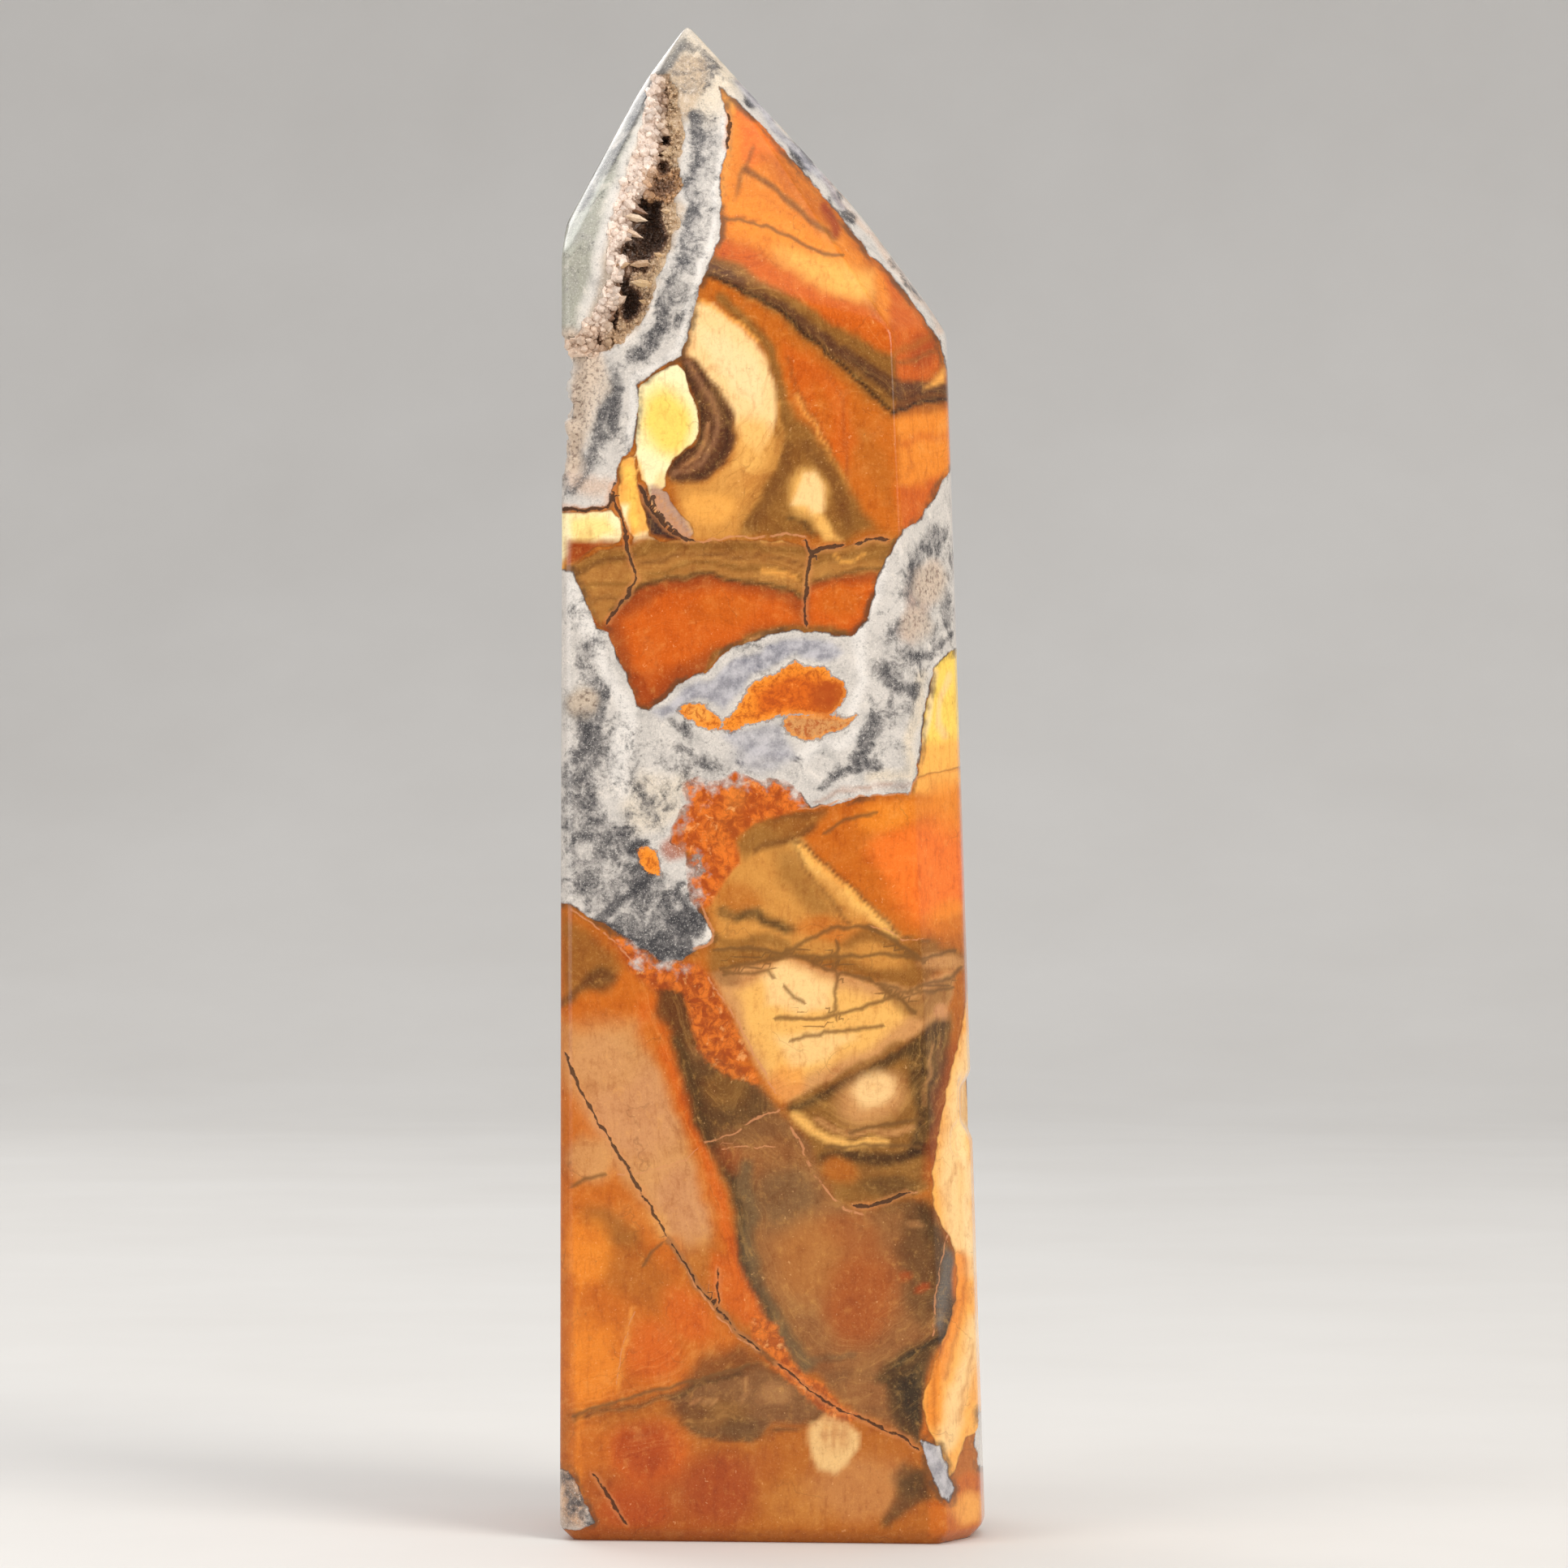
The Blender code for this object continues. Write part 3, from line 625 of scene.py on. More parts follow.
# Second layer over the lower half
LOWER_LAYER = [
    patch(WARM_BROWN, 0.8, 12, [
        (905, 1415), (960, 1400), (1000, 1425), (1035, 1490), (1120, 1486), (1150, 1540), (1150, 1640),
        (1090, 1690), (1010, 1690), (960, 1640), (925, 1570), (915, 1490),
    ]),
    blob(GREY_OLIVE, 0.55, (968, 1478), (44, 46), 30),
    blob(GOLD_BROWN, 0.9, (1002, 1552), (52, 58), -15),
    blob(RUST_BROWN, 0.9, (1062, 1600), (50, 66), 15),
    blob(RUST_BROWN, 0.5, (1052, 1520), (40, 26), 20),
    patch(DARK_OLIVE, 0.6, 12, [
        (1116, 1488), (1156, 1520), (1160, 1612), (1134, 1640), (1116, 1600), (1108, 1540),
    ]),
    blob(RUST, 0.8, (1115, 1573), (9, 7)),
    blob(DARK_RED, 0.8, (1136, 1587), (11, 6), -20),
    blob(TAN, 0.4, (1130, 1510), (16, 6), 20),
    streak(GREY_OLIVE, 0.85, 10, [
        (918, 1440), (922, 1488), (920, 1530), (932, 1586), (954, 1626), (976, 1658), (992, 1684),
    ]),
    streak(BLACK_GREEN, 0.55, 4, [(907, 1452), (912, 1500), (914, 1540), (926, 1586), (948, 1626)]),
    streak(GREY_OLIVE, 0.5, 4, [(990, 1684), (1020, 1672), (1050, 1670)]),
    streak(DARK_OLIVE, 0.8, 10, [(1176, 1606), (1166, 1640), (1146, 1656), (1120, 1668), (1100, 1688)]),
    streak(BLACK_GREEN, 0.9, 2.6, [(1176, 1612), (1165, 1641), (1145, 1655), (1119, 1667), (1104, 1684)]),
    streak(SLATE, 0.8, 5, [(1168, 1556), (1164, 1580), (1157, 1606), (1155, 1630)]),
    patch(BLACK_GREEN, 0.75, 8, [
        (1106, 1700), (1134, 1678), (1140, 1700), (1138, 1746), (1126, 1758), (1106, 1726),
    ]),
    blob(WARM_BROWN, 0.8, (1066, 1716), (34, 22), 20),
    patch(AMBER, 0.5, 14, [(930, 1790), (1090, 1780), (1110, 1840), (1070, 1890), (930, 1890)]),
    patch(DARK_RED, 0.5, 20, [(700, 1820), (900, 1800), (930, 1840), (900, 1900), (700, 1900)]),
    blob(DARK_RED, 0.75, (794, 1784), (40, 36)),
    blob(DARK_RED, 0.5, (786, 1860), (44, 24)),
    patch(SPOT_CREAM, 0.95, 5, [
        (1000, 1752), (1020, 1744), (1040, 1750), (1058, 1764), (1059, 1784), (1048, 1804), (1030, 1816),
        (1010, 1810), (998, 1790), (994, 1768),
    ]),
    blob(TAN, 0.8, (1029, 1764), (22, 30)),
    streak(SPOT_CREAM, 0.7, 1.8, [(1020, 1755), (1021, 1775), (1024, 1790)]),
    streak(SPOT_CREAM, 0.7, 1.8, [(1034, 1758), (1033, 1776), (1031, 1788)]),
    blob(DARK_OLIVE, 0.7, (1120, 1826), (26, 22), 30),
    streak(TAN, 0.7, 2.0, [(853, 1727), (860, 1725)]),
    streak(TAN, 0.7, 2.0, [(866, 1728), (872, 1727)]),
    streak(TAN, 0.7, 2.0, [(877, 1731), (882, 1728)]),
    streak(TAN, 0.5, 2.4, [(918, 1700), (922, 1712), (916, 1724)]),
    blob(GREY_BROWN, 0.5, (905, 1716), (22, 16)),
    streak(BRIGHT_ORANGE, 0.4, 4, [(714, 1560), (712, 1640), (714, 1740), (713, 1860)]),
    streak(RUST, 0.6, 9, [(1176, 1290), (1164, 1350), (1156, 1400), (1146, 1450)]),
]

# Fragments with a crisp edge
PALE_PATCH = [
    (835, 448), (846, 462), (850, 484), (859, 505), (862, 530), (855, 546), (841, 555), (830, 566),
    (822, 580), (819, 598), (814, 606), (802, 603), (790, 591), (785, 566), (783, 541), (786, 516),
    (786, 487), (788, 476), (803, 464), (821, 453),
]
YELLOW_STRIP = [
    (767, 566), (779, 561), (784, 584), (786, 601), (793, 630), (798, 650), (799, 660), (785, 663),
    (774, 655), (766, 630), (761, 601),
]
PINK_PIECE = [
    (797, 602), (821, 607), (832, 626), (849, 644), (856, 661), (844, 664), (822, 646), (807, 630),
]
PINK_LUMP = [(778, 666), (786, 662), (806, 661), (814, 669), (803, 676), (785, 677)]
LEFT_CREAM = [
    (681, 631), (706, 631), (742, 631), (754, 627), (764, 644), (769, 659), (762, 669), (731, 677),
    (714, 688), (706, 699), (699, 703), (681, 701),
]
CLAST = [
    (681, 694), (706, 702), (717, 690), (742, 679), (771, 671), (810, 668), (860, 666), (910, 667),
    (964, 666), (996, 674), (1017, 678), (1039, 676), (1064, 667), (1106, 664), (1093, 687), (1083, 709),
    (1075, 741), (1068, 764), (1053, 784), (1031, 781), (996, 779), (974, 777), (946, 784), (918, 794),
    (893, 802), (882, 810), (875, 824), (860, 831), (839, 841), (818, 863), (803, 874), (785, 870),
    (778, 849), (767, 824), (754, 796), (746, 777), (731, 770), (721, 741), (707, 716), (681, 701),
]
RIGHT_YELLOW = [
    (1231, 779), (1181, 796), (1150, 821), (1148, 843), (1139, 879), (1135, 921), (1129, 958), (1153, 951),
    (1189, 944), (1231, 939),
]
RIGHT_CREAM = [
    (1231, 1200), (1193, 1221), (1182, 1279), (1165, 1350), (1157, 1390), (1154, 1414), (1149, 1450),
    (1151, 1489), (1162, 1513), (1172, 1527), (1177, 1552), (1179, 1582), (1175, 1612), (1159, 1662),
    (1146, 1695), (1136, 1728), (1142, 1755), (1151, 1775), (1158, 1794), (1168, 1826), (1178, 1806),
    (1189, 1771), (1231, 1757),
]
ISLAND_BIG = [
    (889, 891), (903, 880), (917, 859), (928, 841), (942, 834), (956, 831), (970, 819), (981, 816),
    (993, 823), (1014, 821), (1024, 834), (1041, 841), (1043, 856), (1032, 874), (1021, 884), (1003, 880),
    (981, 878), (960, 881), (946, 887), (924, 891), (906, 899), (892, 900),
]
ISLAND_SMALL = [
    (834, 876), (846, 867), (864, 867), (879, 876), (887, 886), (889, 899), (874, 899), (860, 894),
    (849, 886),
]
ISLAND_TAN = [
    (962, 891), (974, 882), (999, 881), (1035, 884), (1055, 883), (1046, 894), (1025, 902), (1003, 913),
    (985, 909), (969, 902),
]
ISLAND_CRUMB = [(784, 1046), (796, 1042), (807, 1050), (814, 1067), (814, 1079), (799, 1076), (789, 1065)]
ISLAND_SLIVER = [
    (953, 133), (981, 164), (1010, 191), (1035, 224), (1055, 249), (1046, 243), (1017, 211), (992, 182),
    (967, 154),
]

FRAGMENT_MARKS = [
    patch(PALE_YELLOW, 1.0, 6, [(774, 444), (874, 444), (874, 616), (774, 616)]),
    blob(YELLOW, 0.95, (822, 521), (34, 50), -14),
    streak(PALE_YELLOW, 0.6, 3, [(786, 487), (784, 541), (791, 591)]),
    blob(HONEY, 0.5, (817, 594), (14, 14)),
    patch(YELLOW_ORANGE, 1.0, 3, [(756, 559), (787, 559), (801, 666), (767, 666)]),
    streak(YELLOW, 0.8, 5, [(774, 580), (776, 609), (783, 644)]),
    patch(PINK_GREY, 1.0, 3, [(797, 594), (828, 601), (860, 659), (846, 669), (803, 630)]),
    streak(PINK_TAN, 0.7, 2.5, [(810, 612), (828, 635), (848, 657)]),
    patch(PALE_YELLOW, 1.0, 4, [(681, 626), (774, 623), (774, 666), (681, 701)]),
    patch(YELLOW, 0.6, 6, [(699, 637), (746, 635), (760, 655), (724, 669), (703, 676)]),
    streak(YELLOW_ORANGE, 0.9, 4, [(692, 701), (701, 687), (717, 676), (742, 671)]),
    patch(PALE_CREAM, 1.0, 2, [(775, 660), (817, 660), (816, 678), (778, 679)]),
    patch(RUST, 1.0, 6, [(696, 666), (1110, 666), (1110, 880), (696, 880)]),
    patch(RED_ORANGE, 0.95, 10, [
        (764, 766), (821, 730), (889, 723), (964, 741), (989, 766), (924, 776), (874, 801), (831, 823),
        (803, 844), (781, 819),
    ]),
    patch(RED_ORANGE, 1.0, 8, [(996, 726), (1039, 719), (1078, 716), (1067, 762), (1046, 776), (999, 773)]),
    blob(ORANGE, 0.45, (1035, 741), (32, 21)),
    blob(ORANGE, 0.35, (889, 751), (46, 21)),
    blob(DARK_RED, 0.45, (803, 844), (32, 21), -30),
    patch(OCHRE, 1.0, 4, [
        (696, 701), (742, 673), (810, 666), (910, 664), (996, 671), (1106, 659), (1089, 705), (1039, 710),
        (996, 716), (992, 734), (964, 727), (928, 718), (874, 709), (821, 713), (785, 726), (764, 744),
        (739, 775), (717, 741),
    ]),
    patch(OLIVE, 0.9, 4, [
        (706, 701), (742, 679), (810, 668), (910, 667), (996, 674), (996, 684), (910, 679), (839, 679),
        (778, 688), (731, 701), (714, 712),
    ]),
    streak(BROWN, 0.8, 2.5, [(714, 709), (742, 691), (781, 684)]),
    streak(BROWN, 0.7, 2, [(785, 694), (831, 684), (892, 684), (946, 688), (992, 694)]),
    streak(OLIVE, 0.9, 3, [(796, 710), (839, 696), (889, 694), (939, 701), (992, 712)]),
    streak(OLIVE, 0.8, 2.5, [(719, 728), (739, 719), (774, 719)]),
    streak(BROWN, 0.6, 2.5, [(724, 744), (746, 737), (767, 737)]),
    streak(DARK_OLIVE, 0.85, 3.2, [
        (755, 751), (785, 726), (821, 712), (874, 709), (928, 717), (964, 726), (992, 733),
    ]),
    streak(YELLOW_ORANGE, 0.7, 3, [(939, 703), (956, 709), (981, 712)]),
    patch(OLIVE, 0.8, 4, [(999, 680), (1039, 678), (1103, 666), (1089, 691), (1039, 694), (999, 698)]),
    streak(YELLOW_ORANGE, 0.6, 2.2, [(1028, 684), (1039, 691), (1053, 691), (1067, 684)]),
    streak(DARK_OLIVE, 0.6, 2.2, [(998, 714), (1031, 710), (1060, 703), (1085, 701)]),
    streak(OLIVE, 0.85, 5, [
        (874, 826), (880, 809), (903, 794), (939, 782), (974, 773), (1003, 775), (1039, 780),
    ]),
    streak(TAN, 0.7, 2.5, [(879, 823), (889, 805), (917, 792), (953, 780)]),
    patch(YELLOW, 1.0, 4, [(1121, 779), (1231, 779), (1231, 936), (1121, 957)]),
    streak(PALE_CREAM, 0.8, 4, [(1149, 825), (1146, 861), (1139, 907), (1133, 943)]),
    streak(CREAM, 0.8, 4, [(1167, 832), (1160, 864), (1156, 893), (1164, 907)]),
    patch(YELLOW_ORANGE, 0.9, 10, [(1124, 918), (1192, 907), (1192, 957), (1124, 964)]),
    patch(YELLOW_ORANGE, 1.0, 6, [(1135, 1179), (1239, 1179), (1239, 1818), (1135, 1818)]),
    streak(CREAM, 0.95, 13, [
        (1196, 1286), (1185, 1336), (1174, 1400), (1171, 1457), (1178, 1507), (1192, 1564),
    ]),
    streak(PALE_CREAM, 0.7, 6, [(1192, 1386), (1189, 1429), (1192, 1486), (1196, 1543)]),
    streak(CREAM, 0.9, 10, [(1206, 1629), (1189, 1693), (1174, 1736), (1167, 1779)]),
    streak(AMBER, 0.5, 1.6, [(1199, 1657), (1192, 1700), (1178, 1750)]),
    streak(BRIGHT_ORANGE, 0.85, 10, [(1180, 1550), (1184, 1600), (1170, 1650), (1152, 1700), (1148, 1750)]),
    streak(RUST, 0.5, 2.5, [(1176, 1600), (1166, 1650), (1150, 1700), (1150, 1745), (1158, 1770)]),
    streak(RUST, 0.4, 2, [(1184, 1540), (1190, 1580), (1182, 1640), (1164, 1700)]),
]

ISLAND_MARKS = [
    patch(BRIGHT_ORANGE, 1.0, 8, [(824, 809), (967, 823), (939, 901), (824, 909)]),
    patch(RED_ORANGE, 0.9, 10, [(931, 851), (974, 830), (1039, 844), (1024, 880), (967, 876), (931, 880)]),
    blob(RUST, 0.7, (1021, 859), (25, 21)),
    blob(YELLOW_ORANGE, 0.6, (860, 880), (21, 11), 20),
    patch(TAN, 1.0, 3, [(960, 885), (981, 881), (1060, 880), (1053, 916), (967, 916)]),
    patch(BROWN, 1.0, 3, [(946, 128), (1060, 239), (1060, 256), (946, 153)]),
    patch(BRIGHT_ORANGE, 1.0, 3, [(778, 1036), (821, 1036), (821, 1086), (778, 1086)]),
]
CURL_EXTRA = [
    patch(UMBER, 1.0, 2.5, [
        (841, 436), (860, 451), (878, 469), (892, 491), (904, 512), (908, 534), (904, 553), (891, 575),
        (874, 588), (853, 595), (838, 599), (826, 594), (821, 584), (828, 566), (841, 556), (856, 549),
        (862, 534), (859, 512), (852, 487), (846, 466), (837, 449),
    ]),
    streak(MAUVE_BROWN, 0.8, 3, [
        (846, 448), (865, 473), (879, 498), (886, 523), (882, 544), (867, 566), (846, 580), (831, 585),
    ]),
    streak(DARK_BROWN, 0.6, 1.8, [
        (853, 448), (874, 473), (890, 501), (899, 526), (894, 551), (878, 575), (853, 587),
    ]),
    streak(DARK_BROWN, 0.8, 2, [
        (842, 451), (855, 480), (864, 505), (867, 530), (861, 548), (842, 560), (828, 576),
    ]),
    streak(PINK_TAN, 0.6, 1.8, [(873, 523), (871, 544), (860, 562), (839, 576)]),
    patch(BLACK_BROWN, 1.0, 2, [
        (786, 599), (796, 602), (806, 630), (822, 648), (846, 666), (803, 662), (798, 651),
    ]),
]
RUST_EXTRA = [
    patch(RED_ORANGE, 1.0, 3, [
        (839, 957), (860, 957), (903, 950), (967, 957), (992, 979), (992, 996), (967, 1000), (931, 1014),
        (903, 1032), (910, 1064), (892, 1086), (874, 1114), (860, 1121), (849, 1096), (842, 1071),
        (853, 1050), (824, 1046), (828, 1029), (831, 1000), (839, 979),
    ]),
    blob(YELLOW_ORANGE, 0.6, (906, 982), (18, 21)),
    blob(DARK_RED, 0.6, (946, 979), (21, 11)),
    blob(DARK_RED, 0.6, (871, 982), (18, 11)),
    blob(AMBER, 0.6, (896, 1021), (32, 21), -30),
]

# Cracks, seams and threads that read as lines: half width and points in pixels
DARK_CRACKS = [
    (1.3, [
        (696, 1296), (714, 1343), (733, 1375), (754, 1407), (767, 1429), (778, 1450), (803, 1490),
        (821, 1521),
    ]),
    (0.6, [(821, 1521), (839, 1548), (860, 1586), (889, 1618), (910, 1643), (935, 1663)]),
    (1.0, [(956, 1680), (974, 1691), (999, 1714), (1031, 1736), (1060, 1746), (1089, 1760)]),
    (0.9, [(1052, 1744), (1085, 1759), (1119, 1774), (1132, 1787)]),
    (1.7, [(993, 666), (999, 684), (996, 701), (994, 726), (991, 748), (993, 769)]),
    (1.5, [(770, 662), (776, 687), (785, 714), (767, 741), (748, 768)]),
    (1.5, [(681, 626), (721, 628), (746, 626), (754, 609), (756, 594)]),
    (1.2, [(754, 609), (764, 634), (774, 662)]),
    (1.9, [(788, 599), (801, 626), (821, 650), (846, 665), (856, 666)]),
    (1.0, [(803, 610), (817, 637), (839, 659)]),
    (2.4, [(999, 679), (1017, 676), (1039, 672)]),
    (1.3, [(1053, 671), (1071, 666), (1094, 663)]),
    (1.5, [(730, 1814), (746, 1838), (771, 1878)]),
    (1.5, [(1053, 1486), (1071, 1486), (1092, 1480), (1121, 1469)]),
    (1.3, [(896, 139), (898, 153), (897, 167), (895, 185)]),
    (0.9, [(885, 1561), (884, 1586), (886, 1607)]),
]
PALE_SEAMS = [
    (1.2, [(867, 1408), (889, 1402), (910, 1393), (931, 1377), (969, 1365)]),
    (1.0, [(889, 1416), (917, 1414), (956, 1412)]),
    (1.7, [(974, 1389), (989, 1414), (999, 1443), (1017, 1465), (1039, 1489), (1064, 1497)]),
    (1.4, [(1121, 1469), (1142, 1465)]),
    (1.5, [(871, 1204), (889, 1229), (910, 1261), (924, 1289), (942, 1321), (956, 1346)]),
    (1.2, [(1168, 1520), (1157, 1568), (1151, 1611), (1150, 1646)]),
    (1.2, [(839, 1552), (860, 1589), (885, 1621), (910, 1649), (935, 1664)]),
    (1.4, [(981, 996), (1010, 995), (1035, 986), (1081, 979), (1121, 979), (1129, 957)]),
    (1.3, [(703, 1119), (731, 1139), (754, 1157), (781, 1186), (796, 1193)]),
    (1.8, [(864, 1111), (871, 1132), (881, 1150), (874, 1161), (853, 1171)]),
    (1.0, [(1071, 1141), (1089, 1143), (1110, 1157), (1139, 1157)]),
    (0.9, [(742, 1446), (781, 1447), (817, 1438), (846, 1429), (860, 1414)]),
    (0.9, [(760, 1707), (767, 1655), (782, 1615)]),
    (1.6, [(860, 666), (889, 664), (910, 660), (931, 664), (967, 657), (992, 662)]),
]
OLIVE_LINES = [
    (3.0, [(821, 1523), (839, 1548), (860, 1586), (889, 1618), (910, 1643), (935, 1663), (956, 1680)]),
    (1.8, [(967, 1175), (996, 1157), (1031, 1143), (1071, 1141)]),
    (2.0, [(967, 1171), (1017, 1193), (1071, 1207), (1110, 1232), (1128, 1248)]),
    (1.8, [(881, 1171), (931, 1168), (981, 1179), (1035, 1179), (1089, 1175), (1135, 1182), (1178, 1171)]),
    (1.8, [(889, 1193), (931, 1186), (967, 1179)]),
    (1.3, [(892, 1201), (946, 1197), (956, 1204)]),
    (1.3, [(964, 1214), (978, 1229), (992, 1236)]),
    (2.0, [(956, 1255), (1017, 1254), (1071, 1239), (1106, 1225), (1171, 1204), (1185, 1193)]),
    (1.6, [(974, 1282), (1017, 1272), (1089, 1264)]),
    (1.3, [(1031, 1157), (1030, 1200), (1029, 1257)]),
    (2.4, [(1071, 1141), (1106, 1161), (1139, 1186)]),
    (1.5, [(1081, 1211), (1124, 1225), (1174, 1218)]),
    (1.3, [(1046, 1395), (1089, 1386), (1139, 1379)]),
    (1.3, [(1017, 1414), (1071, 1411), (1135, 1413)]),
    (1.2, [(894, 269), (931, 275), (971, 290), (1017, 314), (1039, 314)]),
    (1.2, [(1014, 1029), (1039, 1011), (1081, 1000)]),
    (1.3, [(706, 1744), (803, 1714), (860, 1700), (924, 1682)]),
    (1.2, [(792, 1559), (803, 1543), (817, 1530)]),
    (1.2, [(703, 1462), (724, 1452), (746, 1446)]),
]
VEIN_TOP = [
    (560, -60), (1000, -60), (886, 106), (896, 142), (896, 181), (887, 224), (889, 260), (887, 292),
    (874, 324), (862, 353), (853, 389), (846, 421), (838, 438), (810, 455), (786, 474), (787, 500),
    (781, 543), (776, 558), (766, 563), (760, 588), (752, 610), (746, 624), (700, 626), (560, 626),
]
VEIN_RIGHT_TIP = [
    (700, -60), (840, 10), (884, 104), (934, 149), (992, 214), (1034, 265), (1074, 316), (1096, 334),
    (1128, 377), (1143, 399), (1157, 421), (1165, 448), (1170, 466), (1400, 470), (1400, -60),
]
VEIN_MIDDLE = [
    (560, 680), (705, 704), (722, 738), (735, 776), (749, 778), (756, 800), (767, 822), (778, 850),
    (786, 872), (800, 875), (817, 862), (838, 842), (860, 831), (873, 829), (884, 812), (900, 800),
    (918, 794), (945, 784), (974, 777), (1000, 778), (1030, 782), (1052, 784), (1068, 764), (1075, 741),
    (1083, 708), (1093, 687), (1106, 668), (1113, 655), (1134, 640), (1150, 614), (1162, 592),
    (1174, 578), (1400, 560), (1400, 790), (1181, 796), (1150, 821), (1147, 843), (1138, 878),
    (1134, 921), (1128, 957), (1121, 978), (1081, 979), (1053, 984), (1030, 991), (999, 994),
    (992, 984), (981, 973), (967, 963), (945, 960), (931, 961), (917, 957), (906, 951), (889, 961),
    (874, 964), (860, 959), (842, 960), (839, 970), (849, 986), (839, 1004), (830, 1018), (826, 1036),
    (842, 1044), (846, 1056), (853, 1071), (848, 1096), (860, 1118), (871, 1136), (880, 1154),
    (860, 1168), (839, 1184), (817, 1185), (796, 1179), (767, 1154), (746, 1139), (724, 1129),
    (703, 1114), (560, 1090),
]
VEIN_FOOT_LEFT = [(560, 1780), (700, 1812), (712, 1832), (722, 1854), (732, 1876), (716, 1884), (560, 1890)]
VEIN_FOOT_RIGHT = [
    (1135, 1774), (1158, 1782), (1168, 1811), (1176, 1835), (1170, 1851), (1156, 1840), (1145, 1811),
]
VEIN_CORNER = [(1207, 1737), (1252, 1737), (1252, 1811), (1207, 1807), (1201, 1781)]

